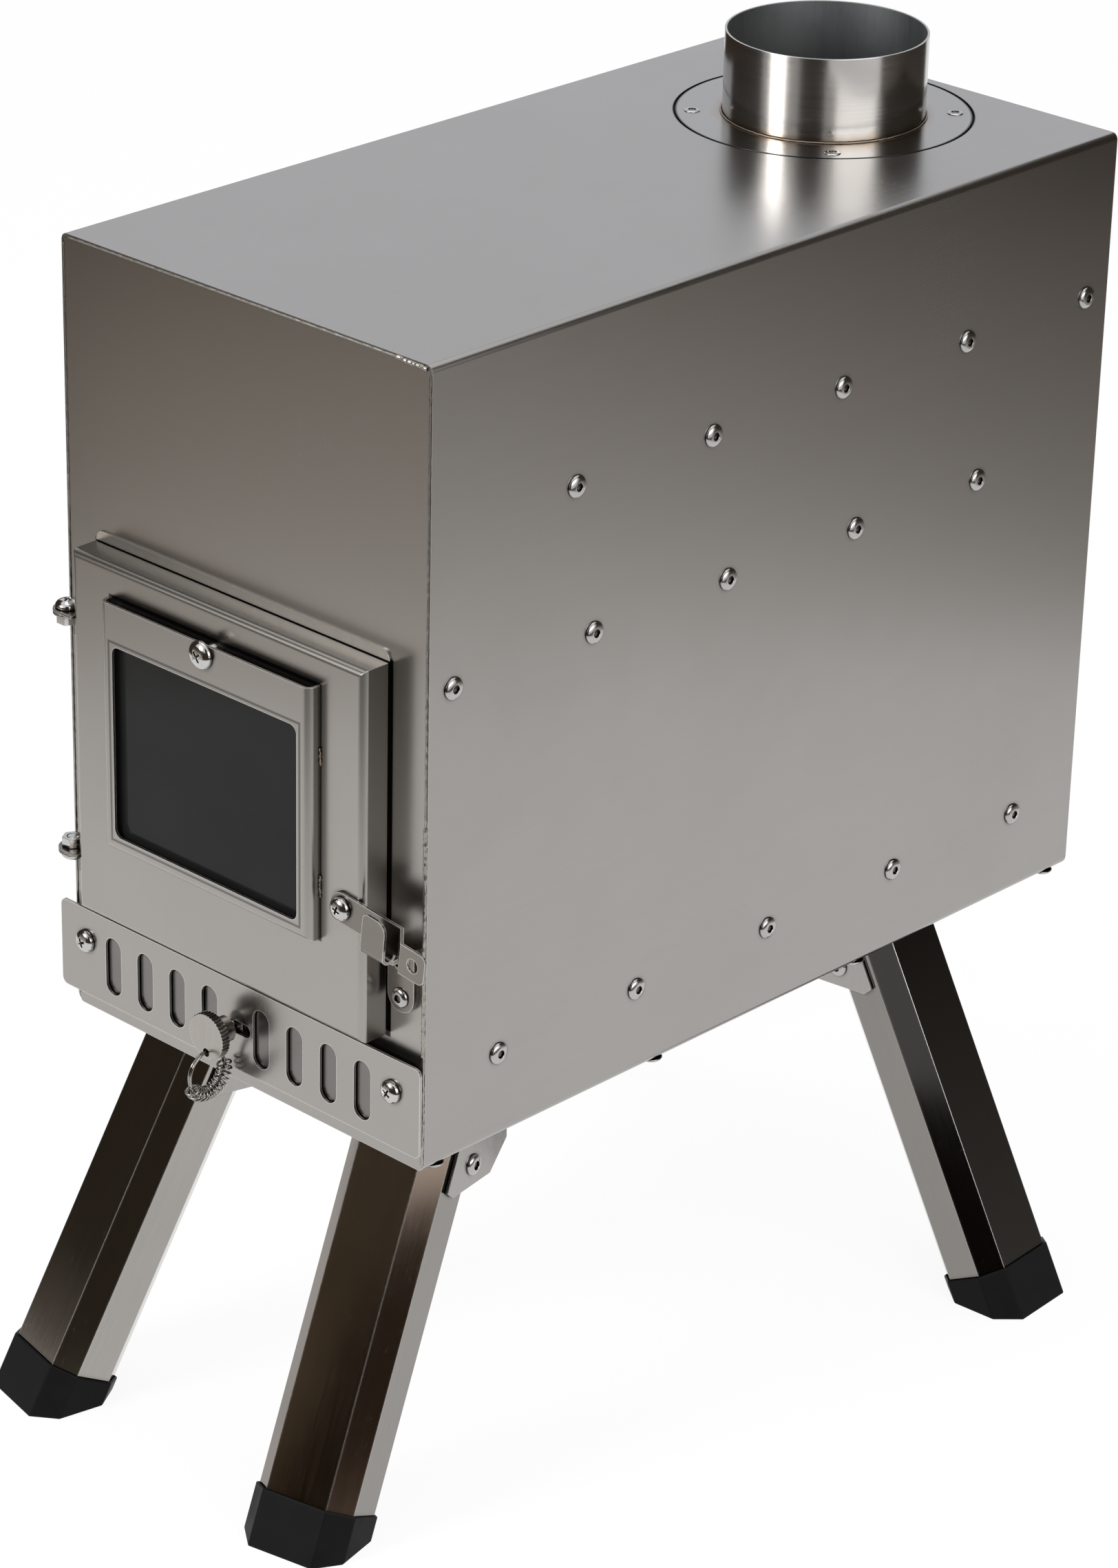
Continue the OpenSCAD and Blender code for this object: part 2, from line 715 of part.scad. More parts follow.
// Door: an open pan with rounded front edges, from crossed profiles
function pan_points(x0, x1, y0, y1, r) = concat([[x1, y1], [x0, y1]],
    corner([x0 + r, y0 + r], r, 180, 270), corner([x1 - r, y0 + r], r, 270, 360));
module pan(x0, x1, z0, z1, y0, y1, r) {
    intersection() {
        translate([0, 0, z0]) linear_extrude(z1 - z0) polygon(pan_points(x0, x1, y0, y1, r));
        translate([x1, 0, 0]) rotate([0, -90, 0]) linear_extrude(x1 - x0)
            polygon(pan_points(z0, z1, y0, y1, r));
    }
}
module door_panel() {
    back = -half_d - door_back_gap;
    color("gray") on_body() difference() {
        pan(door_left, door_right, door_z, door_top, door_front, back, door_bend);
        pan(door_left + sheet, door_right - sheet, door_z + sheet, door_top - sheet,
            door_front + sheet, back + cut, door_bend - sheet);
        front_extrude(door_front - cut, 2 * cut + sheet)
            rounded_rect(window_x - window_w / 2 + window_cut_in, window_x + window_w / 2 - window_cut_in,
                window_z + window_cut_in, window_z + window_h - window_cut_in,
                window_corner, window_corner);
        y_hole(window_x, window_screw_z, window_screw_r, door_front - cut, door_front + sheet + cut);
        y_hole(latch_x, latch_z, screw_r, door_front - cut, door_front + sheet + cut);
    }
}
module window_frame() {
    color("gray") on_body() difference() {
        pan(window_x - frame_half, window_x + frame_half, frame_bottom, frame_top + frame_bend,
            frame_front, door_front, frame_bend);
        pan(window_x - frame_half + sheet, window_x + frame_half - sheet, frame_bottom + sheet,
            frame_top + 2 * frame_bend, frame_front + sheet, door_front + cut, frame_bend - sheet);
        box([window_x - frame_half - cut, frame_front - cut, frame_top],
            [window_x + frame_half + cut, door_front + cut, frame_top + 2 * frame_bend + cut]);
        front_extrude(frame_front - cut, sheet + 2 * cut)
            rounded_rect(window_x - window_w / 2, window_x + window_w / 2, window_z, window_z + window_h,
                window_corner, window_corner);
        y_hole(window_x, window_screw_z, window_screw_r, frame_front - cut, frame_front + sheet + cut);
    }
}
module window_glass() {
    color("black", 0.6) on_body()
        box([window_x - frame_half + glass_side + sheet, glass_front, frame_bottom + frame_bend],
            [window_x + frame_half - glass_side - sheet, glass_front + glass_t,
                window_z + window_h + glass_top_cover]);
}
module window_screw() {
    color("silver") on_body() translate([window_x, frame_front, window_screw_z]) rotate([90, 0, 0])
        pan_screw(window_screw_r, window_head_r, window_head_h, window_proud + sheet + nut_h + sheet);
}
module window_nut() {
    color("silver") on_body() translate([window_x, door_front + sheet + nut_h, window_screw_z])
        rotate([90, 0, 0]) nut(window_nut_r, window_screw_r, nut_h);
}

// Latch: the strap is drawn along +X from its pivot, then sloped
module at_latch() {
    on_body() translate([latch_x, 0, latch_z]) rotate([0, latch_slope, 0]) children();
}
module strap_plan() {
    y0 = latch_back;
    y1 = latch_back - latch_step;
    polygon([[-latch_w, y0], [-latch_w, y0 - latch_t], [latch_len - latch_t / 2, y0 - latch_t],
        [latch_len + latch_step - latch_t / 2, y1 - latch_t], [latch_total, y1 - latch_t],
        [latch_total, y1], [latch_len + latch_step, y1], [latch_len, y0]]);
}
module strap_outline() {
    circle(latch_w / 2);
    rounded_rect(0, latch_total, -latch_w / 2, latch_w / 2, end_corner_r, end_corner_r);
    translate([0, -latch_w / 2]) square([latch_w, latch_w]);
}
module strap_tab() {
    bend = (tab_out + latch_t) / 2;
    y0 = latch_back - latch_t / 2 - tab_out / 2;
    translate([tab_start, 0, -latch_w / 2]) {
        intersection() {
            translate([0, y0, 0]) rotate([0, 90, 0]) difference() {
                cylinder(r = bend, h = tab_w);
                translate([0, 0, -cut]) cylinder(r = bend - latch_t, h = tab_w + 2 * cut);
            }
            box([-cut, y0 - 2 * bend, -2 * bend], [tab_w + cut, y0 + 2 * bend, 0]);
        }
        front_extrude(y0 - bend, latch_t) polygon(concat([[0, 0], [tab_w, 0]],
            corner([tab_w - tab_r, tab_h - tab_r], tab_r, 0, 90),
            corner([tab_r / 2, tab_h - tab_r / 2], tab_r / 2, 90, 180)));
    }
}
module latch_strap() {
    color("silver") at_latch() difference() {
        union() {
            intersection() {
                translate([0, 0, -latch_w]) linear_extrude(2 * latch_w) strap_plan();
                front_extrude(latch_back - latch_step - latch_w, latch_step + 2 * latch_w) strap_outline();
            }
            strap_tab();
        }
        y_hole(0, 0, screw_r + run_gap, latch_back - latch_t - cut, latch_back + cut);
        y_hole(latch_total - latch_end_len / 2, 0, latch_hole_r,
            latch_back - latch_step - latch_t - cut, latch_back - latch_step + cut);
    }
}
module latch_screw() {
    color("silver") on_body() translate([latch_x, latch_back - latch_t - run_gap, latch_z])
        rotate([90, 0, 0]) pan_screw(screw_r, head_r, head_h, pass_gap + latch_t + sheet + nut_h + sheet);
}
module latch_nut() {
    color("silver") on_body() translate([latch_x, door_front + sheet + nut_h, latch_z]) rotate([90, 0, 0])
        nut(nut_r, screw_r, nut_h);
}
module latch_keeper() {
    front = -half_d - keeper_t;
    tongue_front = latch_back + pass_gap;
    color("silver") on_body() difference() {
        union() {
            front_extrude(front, keeper_t) {
                translate([keeper_x, keeper_z + keeper_w / 2]) circle(keeper_w / 2);
                translate([keeper_x - keeper_w / 2, keeper_z + keeper_w / 2])
                    square([keeper_w, keeper_top - keeper_z - keeper_w / 2]);
            }
            box([keeper_x - keeper_w / 2, tongue_front, keeper_top - keeper_tongue_t],
                [keeper_x + keeper_w / 2, -half_d, keeper_top]);
        }
        for (z = keeper_rivet_places)
            y_hole(keeper_x, z, rivet_r, front - cut, -half_d + cut);
    }
}
module keeper_rivets() {
    color("silver") on_body()
        for (z = keeper_rivet_places)
            translate([keeper_x, -half_d - keeper_t, z]) rotate([90, 0, 0])
                rivet(rivet_r, keeper_rivet_head_r, rivet_head_h, rivet_hollow_r, keeper_t + sheet,
                    rivet_tail_r);
}

// Air control: the slots of the vent plate, also cut in the front panel
module air_slots() {
    for (x = slot_places)
        slot(x, slot_z, slot_w, slot_h);
}
module vent_plate() {
    color("gray") on_body() difference() {
        front_extrude(vent_front, sheet) difference() {
            rounded_rect(-vent_w / 2, vent_w / 2, vent_z, vent_z + vent_h, vent_corner, vent_corner);
            air_slots();
            slot(knob_x + slider_travel / 2, knob_z, slider_travel + 2 * (stud_r + pass_gap),
                2 * (stud_r + pass_gap));
        }
        for (s = [-1, 1])
            y_hole(s * vent_screw_x, vent_screw_z, screw_r, vent_front - cut, vent_back + cut);
    }
}
module vent_screws() {
    color("silver") on_body()
        for (s = [-1, 1])
            translate([s * vent_screw_x, vent_front, vent_screw_z]) rotate([90, 0, 0])
                pan_screw(screw_r, head_r, head_h, vent_proud + sheet + nut_h + sheet);
}
module vent_nuts() {
    color("silver") on_body()
        for (s = [-1, 1])
            translate([s * vent_screw_x, front_inside + nut_h, vent_screw_z]) rotate([90, 0, 0])
                nut(nut_r, screw_r, nut_h);
}
module vent_spacers() {
    color("silver") on_body()
        for (s = [-1, 1])
            difference() {
                y_hole(s * vent_screw_x, vent_screw_z, spacer_r, vent_back, -half_d);
                y_hole(s * vent_screw_x, vent_screw_z, screw_r, vent_back - cut, -half_d + cut);
            }
}

// The slider's slots lie beside the plate's when it is shut, and its guide holes run on the spacers
module air_slider() {
    low = -vent_screw_x - slider_travel - spacer_r - slider_end;
    high = vent_screw_x + spacer_r + slider_end;
    color("gray") on_body() difference() {
        front_extrude(slider_front, slider_t) difference() {
            rounded_rect(low, high, slider_z, slider_z + slider_h, vent_corner, vent_corner);
            for (x = slot_places)
                slot(x - slider_offset, slot_z, slider_slot_w, slot_h);
            for (s = [-1, 1])
                slot(s * vent_screw_x - slider_travel / 2, vent_screw_z,
                    slider_travel + 2 * (spacer_r + run_gap), 2 * (spacer_r + run_gap));
        }
        y_hole(knob_x, knob_z, stud_r, slider_front - cut, slider_front + slider_t + cut);
    }
}
module slider_stud() {
    slider_back = slider_front + slider_t;
    color("silver") on_body() {
        y_hole(knob_x, knob_z, stud_r, knob_front + knob_t + knob_hub_h, slider_back);
        y_hole(knob_x, knob_z, stud_flange_r, slider_back, slider_back + stud_flange_t);
    }
}
module knob() {
    disc_back = knob_front + knob_t;
    color("silver") on_body() difference() {
        union() {
            front_extrude(knob_front, knob_t) translate([knob_x, knob_z])
                polygon([for (i = [0:2 * knurl_count - 1]) let (a = 180 * i / knurl_count)
                    (knob_r - (i % 2) * knurl_d) * [cos(a), sin(a)]]);
            y_hole(knob_x, knob_z, knob_hub_r, disc_back, disc_back + knob_hub_h);
        }
        y_hole(knob_x, knob_z - ring_hole_drop, ring_hole_r, knob_front - cut,
            disc_back + knob_hub_h + cut);
    }
}

// Handle: a wire ring through the knob, with the coil spring on its lower half
module at_ring() {
    on_body() translate([knob_x, ring_y, ring_z]) children();
}
module handle_ring() {
    color("silver") at_ring() rotate([0, 90, 0])
        rotate_extrude($fn = 72) translate([ring_r, 0]) circle(ring_wire_r, $fn = 24);
}

// A point of the ring's centre line at an angle is ring_r along its spoke, in the plane across X
function spoke(a) = [0, cos(a), sin(a)];
function along(a) = [0, -sin(a), cos(a)];
function unit(v) = v / norm(v);
function coil_spoke(i) = spring_from + spring_sweep * i / (spring_turns * spring_steps);
function coil_out(i) = let (b = 360 * i / spring_steps)
    cos(b) * spoke(coil_spoke(i)) + sin(b) * [1, 0, 0];
function coil_point(i) = ring_r * spoke(coil_spoke(i)) + spring_r * coil_out(i);
function coil_way(i) = unit(coil_point(i + 0.5) - coil_point(i - 0.5));
function coil_last() = spring_turns * spring_steps;

// Each station of the tube holds its centre, its outward normal and its side direction
function station(c, out, way) = let (side = unit(cross(way, out))) [c, unit(cross(side, way)), side];
function turned_in(i, sign, a) = let (out = coil_out(i), way = sign * coil_way(i))
    station(coil_point(i) + spring_bend_r * (cos(a) * out + sin(a) * way - out),
        cos(a) * out + sin(a) * way, sign * (cos(a) * way - sin(a) * out));
function seated(i, sign) = let (out = coil_out(i), way = sign * coil_way(i),
    drop = spring_r - spring_bend_r - ring_wire_r - spring_seat_gap)
    station(coil_point(i) + spring_bend_r * (way - out) - drop * out, way, -sign * out);
spring_stations = concat(
    [seated(0, -1)], [for (a = [90:-30:30]) turned_in(0, -1, a)],
    [for (i = [0:coil_last()]) station(coil_point(i), coil_out(i), coil_way(i))],
    [for (a = [30:30:90]) turned_in(coil_last(), 1, a)], [seated(coil_last(), 1)]);
spring_points = [for (s = spring_stations, k = [0:spring_sides - 1])
    s[0] + spring_wire_r * (cos(360 * k / spring_sides) * s[1] + sin(360 * k / spring_sides) * s[2])];
spring_count = len(spring_stations);
function quad(a, b, c, d) = [[a, b, c], [a, c, d]];
spring_faces = concat(
    [for (s = [0:spring_count - 2], k = [0:spring_sides - 1])
        let (n = spring_sides, a = s * n, b = a + n, l = (k + 1) % n)
        each quad(a + k, a + l, b + l, b + k)],
    [for (k = [1:spring_sides - 2]) [0, k + 1, k]],
    [for (k = [1:spring_sides - 2]) let (e = (spring_count - 1) * spring_sides) [e, e + k, e + k + 1]]);

// Least gap between neighbouring curls, measured on the tube's points
function ring_points(s) = [for (k = [0:spring_sides - 1]) spring_points[s * spring_sides + k]];
curl_span = [spring_steps - 3, spring_steps + 3];
spring_gap = min([for (s = [4:spring_count - 5 - spring_steps], t = [s + curl_span[0]:s + curl_span[1]])
    if (t < spring_count) min([for (p = ring_points(s), q = ring_points(t)) norm(p - q)])]);
echo(least_gap_between_curls = spring_gap);
module handle_spring() {
    color("silver") at_ring() polyhedron(points = spring_points, faces = spring_faces);
}

// Legs: the pivot frame has +X along the pivot and +Y outward
module at_leg(leg) {
    on_body() translate([leg[0], leg[1], -pivot_drop]) rotate([0, 0, leg[2]]) children();
}
module octagon(grow) {
    w = leg_w / 2 + grow;
    d = leg_d / 2 + grow;
    b = leg_bevel + grow * tan(22.5);
    translate([0, pivot_in]) polygon([[w, b - d], [w, d - b], [w - b, d], [b - w, d],
        [-w, d - b], [-w, b - d], [b - w, -d], [w - b, -d]]);
}
module pivot_bore(r) {
    rotate([0, 90, 0]) cylinder(r = r, h = 2 * leg_w, center = true);
}
module leg_tube(leg) {
    color("gainsboro") at_leg(leg) rotate([leg_tilt, 0, 0]) difference() {
        translate([0, 0, -leg_end]) linear_extrude(leg_end + leg_top) difference() {
            octagon(0);
            octagon(-leg_wall);
        }
        pivot_bore(pivot_run);
    }
}
module leg_foot(leg) {
    color("black") at_leg(leg) difference() {
        rotate([leg_tilt, 0, 0]) difference() {
            union() {
                translate([0, 0, -leg_end - foot_length]) linear_extrude(foot_length + foot_grip)
                    octagon(foot_wall);
                translate([0, 0, -leg_end - cut]) linear_extrude(foot_plug + cut)
                    octagon(-leg_wall - run_gap);
            }
            translate([0, 0, -leg_end]) linear_extrude(foot_plug + cut) difference() {
                octagon(run_gap);
                octagon(-leg_wall - run_gap);
            }
        }
        box([-leg_w, 0, -pivot_h - leg_w], [leg_w, 4 * leg_w, -pivot_h]);
    }
}

// Bracket: two ears with a plate under the body, whose front tongue stops the leg
module leg_bracket(leg) {
    ear_x = leg_w / 2 + bracket_gap;
    depth = bracket_top + ear_below;
    color("silver") at_leg(leg) difference() {
        union() {
            for (s = [-1, 1])
                side_extrude(s > 0 ? ear_x : -ear_x - bracket_t, bracket_t)
                    polygon([for (p = ear_shares) [p[0] * ear_reach, bracket_top + p[1] * depth]]);
            box([-ear_x - bracket_t, ear_shares[5][0] * ear_reach, bracket_top - bracket_t],
                [ear_x + bracket_t, tongue_reach, bracket_top]);
        }
        pivot_bore(pivot_r);
    }
}
module pivot_rivet(leg) {
    ear_x = leg_w / 2 + bracket_gap + bracket_t;
    at_leg(leg) {
        rotate([0, 90, 0]) cylinder(r = pivot_r, h = 2 * ear_x, center = true);
        for (s = [-1, 1])
            translate([s * ear_x, 0, 0]) rotate([0, s * 90, 0]) rotate_extrude()
                polygon(concat([[0, 0]], dome(pivot_head_r, pivot_head_h, pivot_hollow_r)));
    }
}
module leg_rivets() {
    color("silver")
        for (leg = legs)
            pivot_rivet(leg);
}

outer_shell();
front_panel();
back_panel();
bottom_panel();
lower_baffle();
upper_baffle();
grate_rail(-1);  // left_grate_rail
grate_rail(1);  // right_grate_rail
fire_grate();
side_rivets();
back_rivets();
bottom_rivets();
flue_ring();
flue_flange();
flue_collar();
flange_rivets();
upper_body_ear();
lower_body_ear();
hinge_screws();
hinge_nuts();
latch_keeper();
keeper_rivets();
vent_plate();
vent_screws();
vent_nuts();
vent_spacers();
leg_bracket(front_right);  // front_right_bracket
leg_bracket(front_left);  // front_left_bracket
leg_bracket(rear_right);  // rear_right_bracket
leg_bracket(rear_left);  // rear_left_bracket
leg_rivets();
door_panel();
upper_door_ear();
lower_door_ear();
window_frame();
window_glass();
window_screw();
window_nut();
latch_screw();
latch_nut();
latch_strap();
air_slider();
slider_stud();
knob();
handle_ring();
handle_spring();
leg_tube(front_right);  // front_right_leg
leg_tube(front_left);  // front_left_leg
leg_tube(rear_right);  // rear_right_leg
leg_tube(rear_left);  // rear_left_leg
leg_foot(front_right);  // front_right_foot
leg_foot(front_left);  // front_left_foot
leg_foot(rear_right);  // rear_right_foot
leg_foot(rear_left);  // rear_left_foot
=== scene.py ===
import json
import math

import bpy
from mathutils import Matrix, Vector

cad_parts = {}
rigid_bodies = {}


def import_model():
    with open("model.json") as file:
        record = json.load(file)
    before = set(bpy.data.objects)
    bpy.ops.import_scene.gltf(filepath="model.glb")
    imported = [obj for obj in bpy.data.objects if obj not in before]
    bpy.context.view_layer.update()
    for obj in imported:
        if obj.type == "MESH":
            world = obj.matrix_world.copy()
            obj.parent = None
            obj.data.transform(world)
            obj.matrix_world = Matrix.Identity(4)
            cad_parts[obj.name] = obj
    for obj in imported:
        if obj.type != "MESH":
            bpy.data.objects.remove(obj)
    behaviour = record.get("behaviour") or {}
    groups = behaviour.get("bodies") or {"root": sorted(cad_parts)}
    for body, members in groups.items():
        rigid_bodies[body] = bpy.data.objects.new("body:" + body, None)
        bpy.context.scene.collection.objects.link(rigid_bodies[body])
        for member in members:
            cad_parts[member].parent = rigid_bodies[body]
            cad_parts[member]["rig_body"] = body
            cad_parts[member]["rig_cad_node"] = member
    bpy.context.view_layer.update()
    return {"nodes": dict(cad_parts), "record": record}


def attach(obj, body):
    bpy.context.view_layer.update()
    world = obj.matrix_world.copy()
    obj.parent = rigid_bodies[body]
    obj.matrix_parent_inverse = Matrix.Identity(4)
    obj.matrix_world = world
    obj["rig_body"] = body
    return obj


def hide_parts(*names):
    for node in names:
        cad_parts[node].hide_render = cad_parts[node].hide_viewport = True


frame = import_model()
nodes = frame["nodes"]
mm = 0.001
slotNames = {part["node"]: part["material_slot"] for part in frame["record"]["subparts"]}
bodyOf = {n: body for body, names in frame["record"]["behaviour"]["bodies"].items() for n in names}

# the body's measures in millimetres; places on it count from its middle and its underside
bodyMid, bodyLow = 30.7287, 162.0
halfW, halfD, bodyH = 102.5, 200.0, 337.0
flueY, collarR = 132.5, 42.5


def bodyPlace(x, y, z):
    return Vector((x, y + bodyMid, z + bodyLow)) * mm


# The middle and the half size of a node's box
def boxOf(name):
    corners = [nodes[name].matrix_world @ Vector(corner) for corner in nodes[name].bound_box]
    low = Vector([min(c[i] for c in corners) for i in range(3)])
    high = Vector([max(c[i] for c in corners) for i in range(3)])
    return tuple((low + high) / 2), tuple((high - low) / 2)


# the camera stands where the photograph was taken from
cameraSet = {
    "place": (1.33440963, -1.40506800, 1.15082904),
    "turn": (63.76147, -0.60787, 45.10839),
    "sensor": 36,
    "lens": 116.9677,
    "shift": (0.07894, 0.06106),
}
bpy.ops.object.camera_add(location=cameraSet["place"],
                          rotation=[math.radians(a) for a in cameraSet["turn"]])
camera = bpy.context.object
camera.data.sensor_width = cameraSet["sensor"]
camera.data.lens = cameraSet["lens"]
camera.data.shift_x, camera.data.shift_y = cameraSet["shift"]
bpy.context.scene.camera = camera
print("camera set")


# A socket gets either a link or a plain value
def setSocket(tree, socket, value):
    if isinstance(value, bpy.types.NodeSocket):
        tree.links.new(value, socket)
    else:
        socket.default_value = value


def addNode(tree, kind, inputs=None, **settings):
    node = tree.nodes.new(kind)
    for key, value in settings.items():
        setattr(node, key, value)
    for key, value in (inputs or {}).items():
        setSocket(tree, node.inputs[key], value)
    return node


def mathNode(tree, operation, first, second=0.0):
    return addNode(tree, "ShaderNodeMath", {0: first, 1: second}, operation=operation).outputs[0]


def vectorMath(tree, operation, first, second=(0, 0, 0)):
    node = addNode(tree, "ShaderNodeVectorMath", {0: first, 1: second}, operation=operation)
    return node.outputs["Value" if operation in ("DOT_PRODUCT", "LENGTH") else "Vector"]


def remap(tree, value, low, high, newLow=0.0, newHigh=1.0):
    return addNode(tree, "ShaderNodeMapRange", {0: value, 1: low, 2: high, 3: newLow, 4: newHigh}).outputs[0]


def mixColor(tree, share, first, second):
    node = addNode(tree, "ShaderNodeMix", {0: share, 6: first, 7: second}, data_type="RGBA")
    return node.outputs[2]


def objectPlace(tree):
    return addNode(tree, "ShaderNodeTexCoord").outputs["Object"]


def axisOf(tree, place, axis):
    return addNode(tree, "ShaderNodeSeparateXYZ", {0: place}).outputs[axis]


def noise(tree, place, values):
    return addNode(tree, "ShaderNodeTexNoise", {"Vector": place, **values}).outputs[0]


# A node group: its inputs by name with their values, and the names of the masks it puts out
def newGroup(name, inputs, masks):
    group = bpy.data.node_groups.new(name, "ShaderNodeTree")
    for socketName, value in inputs.items():
        kind = "NodeSocketVector" if isinstance(value, tuple) else "NodeSocketFloat"
        group.interface.new_socket(socketName, in_out="INPUT", socket_type=kind).default_value = value
    for socketName in masks:
        group.interface.new_socket(socketName, in_out="OUTPUT", socket_type="NodeSocketFloat")
    return group, addNode(group, "NodeGroupInput").outputs, addNode(group, "NodeGroupOutput").inputs


def useGroup(tree, group, values=None):
    return addNode(tree, "ShaderNodeGroup", values, node_tree=group)


# where each mask begins and where it is full
maskSet = {
    "streaks": (0.35, 0.65), "roughStreaks": (0.3, 0.7), "clouds": (0.3, 0.7), "edge": (0.98, 0.75),
    "scratch": (0.70, 0.78), "scratchPatch": (0.45, 0.65), "contact": (0.9, 0.35), "heat": (1.5, 0.5),
    "gapLine": (1.0, 0.55), "ringLine": (1.0, 0.6),
    "samples": 4,
}
grainSet = {
    "fine": {"Scale": 3200.0, "Detail": 3.0, "Roughness": 0.7}, "fineShare": 0.6,
    "broad": {"Scale": 520.0, "Detail": 4.0, "Roughness": 0.65}, "broadShare": 0.4,
    "clouds": {"Scale": 14.0, "Detail": 5.0, "Roughness": 0.6},
}


# Brushed grain: fine streaks, drawn out along the direction in which Stretch is small
def makeGrain():
    group, given, out = newGroup("brushedGrain", {"Stretch": (1.0, 1.0, 1.0), "Turn": (0.0, 0.0, 0.0)},
                                 ["Streaks", "Clouds"])
    place = objectPlace(group)
    turnedPlace = addNode(group, "ShaderNodeMapping", {"Vector": place, "Rotation": given["Turn"]})
    drawn = vectorMath(group, "MULTIPLY", turnedPlace.outputs[0], given["Stretch"])
    fine = mathNode(group, "MULTIPLY", noise(group, drawn, grainSet["fine"]), grainSet["fineShare"])
    broad = mathNode(group, "MULTIPLY", noise(group, drawn, grainSet["broad"]), grainSet["broadShare"])
    group.links.new(mathNode(group, "ADD", fine, broad), out["Streaks"])
    clouds = noise(group, place, grainSet["clouds"])
    group.links.new(remap(group, clouds, *maskSet["clouds"]), out["Clouds"])
    return group


# Edge mask: 1 along sharp edges, where the materials paint a highlight
def makeEdges():
    group, given, out = newGroup("edgeHighlightMask", {"Width": 0.6 * mm}, ["Edge"])
    rounded = addNode(group, "ShaderNodeBevel", {"Radius": given["Width"]}, samples=maskSet["samples"])
    flat = addNode(group, "ShaderNodeNewGeometry").outputs["Normal"]
    turn = vectorMath(group, "DOT_PRODUCT", rounded.outputs[0], flat)
    group.links.new(remap(group, turn, *maskSet["edge"]), out["Edge"])
    return group


scratchSet = {
    "turns": [(0.3, 0.2, 0.9), (1.1, 0.6, -0.5)],
    "stretch": (1.0, 0.06, 0.3),
    "lines": {"Scale": 900.0, "Detail": 1.0},
    "patches": {"Scale": 40.0},
}


# Fine scratches: thin broken lines in two directions
def makeScratches():
    group, given, out = newGroup("scratches", {"Amount": 0.3}, ["Lines"])
    place = objectPlace(group)
    lines = []
    for turn in scratchSet["turns"]:
        across = addNode(group, "ShaderNodeMapping", {"Vector": place, "Rotation": turn,
                                                      "Scale": scratchSet["stretch"]})
        lines.append(remap(group, noise(group, across.outputs[0], scratchSet["lines"]), *maskSet["scratch"]))
    patches = remap(group, noise(group, place, scratchSet["patches"]), *maskSet["scratchPatch"])
    shown = mathNode(group, "MULTIPLY", mathNode(group, "MAXIMUM", *lines), patches)
    group.links.new(mathNode(group, "MULTIPLY", shown, given["Amount"]), out["Lines"])
    return group


# Contact shade: 1 where another face lies close, 0 in the open
def makeContact():
    group, given, out = newGroup("contactShade", {"Reach": 2.5 * mm}, ["Shade"])
    near = addNode(group, "ShaderNodeAmbientOcclusion", {"Distance": given["Reach"]}, samples=maskSet["samples"])
    group.links.new(remap(group, near.outputs["AO"], *maskSet["contact"]), out["Shade"])
    return group


# How far a place is from the flue's axis
def fromFlue(tree, place):
    away = vectorMath(tree, "SUBTRACT", place, tuple(bodyPlace(0, flueY, 0)))
    return vectorMath(tree, "LENGTH", vectorMath(tree, "MULTIPLY", away, (1, 1, 0)))


def farFrom(tree, value, middle):
    return mathNode(tree, "ABSOLUTE", mathNode(tree, "SUBTRACT", value, middle))


# Heat tint: 1 at the joint of the flue collar and its flange, fading out round it
def makeHeatTint():
    group, given, out = newGroup("heatTint", {"Reach": 5 * mm}, ["Tint"])
    place = objectPlace(group)
    gap = farFrom(group, fromFlue(group, place), collarR * mm)
    rise = farFrom(group, axisOf(group, place, "Z"), (bodyLow + bodyH) * mm)
    far = mathNode(group, "DIVIDE", mathNode(group, "ADD", gap, rise), given["Reach"])
    ripple = noise(group, place, {"Scale": 90.0})
    group.links.new(remap(group, mathNode(group, "ADD", far, ripple), *maskSet["heat"]), out["Tint"])
    return group


# Gap line: 1 along the edge of a rectangle that lies in front of the sheet, where the material paints the gap's
# shade
def makeGapLine():
    group, given, out = newGroup("gapLine", {"Middle": (0, 0, 0), "Half": (0, 0, 0), "Width": 1 * mm}, ["Line"])
    fromMiddle = vectorMath(group, "SUBTRACT", objectPlace(group), given["Middle"])
    beyond = vectorMath(group, "SUBTRACT", vectorMath(group, "ABSOLUTE", fromMiddle), given["Half"])
    away = mathNode(group, "MAXIMUM", axisOf(group, beyond, "X"), axisOf(group, beyond, "Z"))
    share = mathNode(group, "DIVIDE", mathNode(group, "ABSOLUTE", away), given["Width"])
    group.links.new(remap(group, share, *maskSet["gapLine"]), out["Line"])
    return group


# Ring line: 1 along a circle round the flue, where the material paints a shade line
def makeRingLine():
    group, given, out = newGroup("ringLine", {"Radius": 60 * mm, "Width": 0.5 * mm}, ["Line"])
    off = farFrom(group, fromFlue(group, objectPlace(group)), given["Radius"])
    share = mathNode(group, "DIVIDE", off, given["Width"])
    group.links.new(remap(group, share, *maskSet["ringLine"]), out["Line"])
    return group


grainGroup = makeGrain()
edgeGroup = makeEdges()
scratchGroup = makeScratches()
contactGroup = makeContact()
heatGroup = makeHeatTint()
gapGroup = makeGapLine()
ringGroup = makeRingLine()


def newMaterial(name):
    material = bpy.data.materials.new(name)
    material.use_nodes = True
    tree = material.node_tree
    return material, tree, tree.nodes["Principled BSDF"]


def joinTo(tree, shader, **values):
    for key, value in values.items():
        setSocket(tree, shader.inputs[key.replace("_", " ")], value)


# Mixes a colour in where a mask is 1
def tinted(tree, tone, mask, strength, color):
    return mixColor(tree, mathNode(tree, "MULTIPLY", mask, strength), tone, (*color, 1))


def added(tree, value, mask, strength):
    return mathNode(tree, "ADD", value, mathNode(tree, "MULTIPLY", mask, strength))


def darker(tree, dark, mask, strength):
    return mathNode(tree, "MAXIMUM", dark, mathNode(tree, "MULTIPLY", mask, strength))
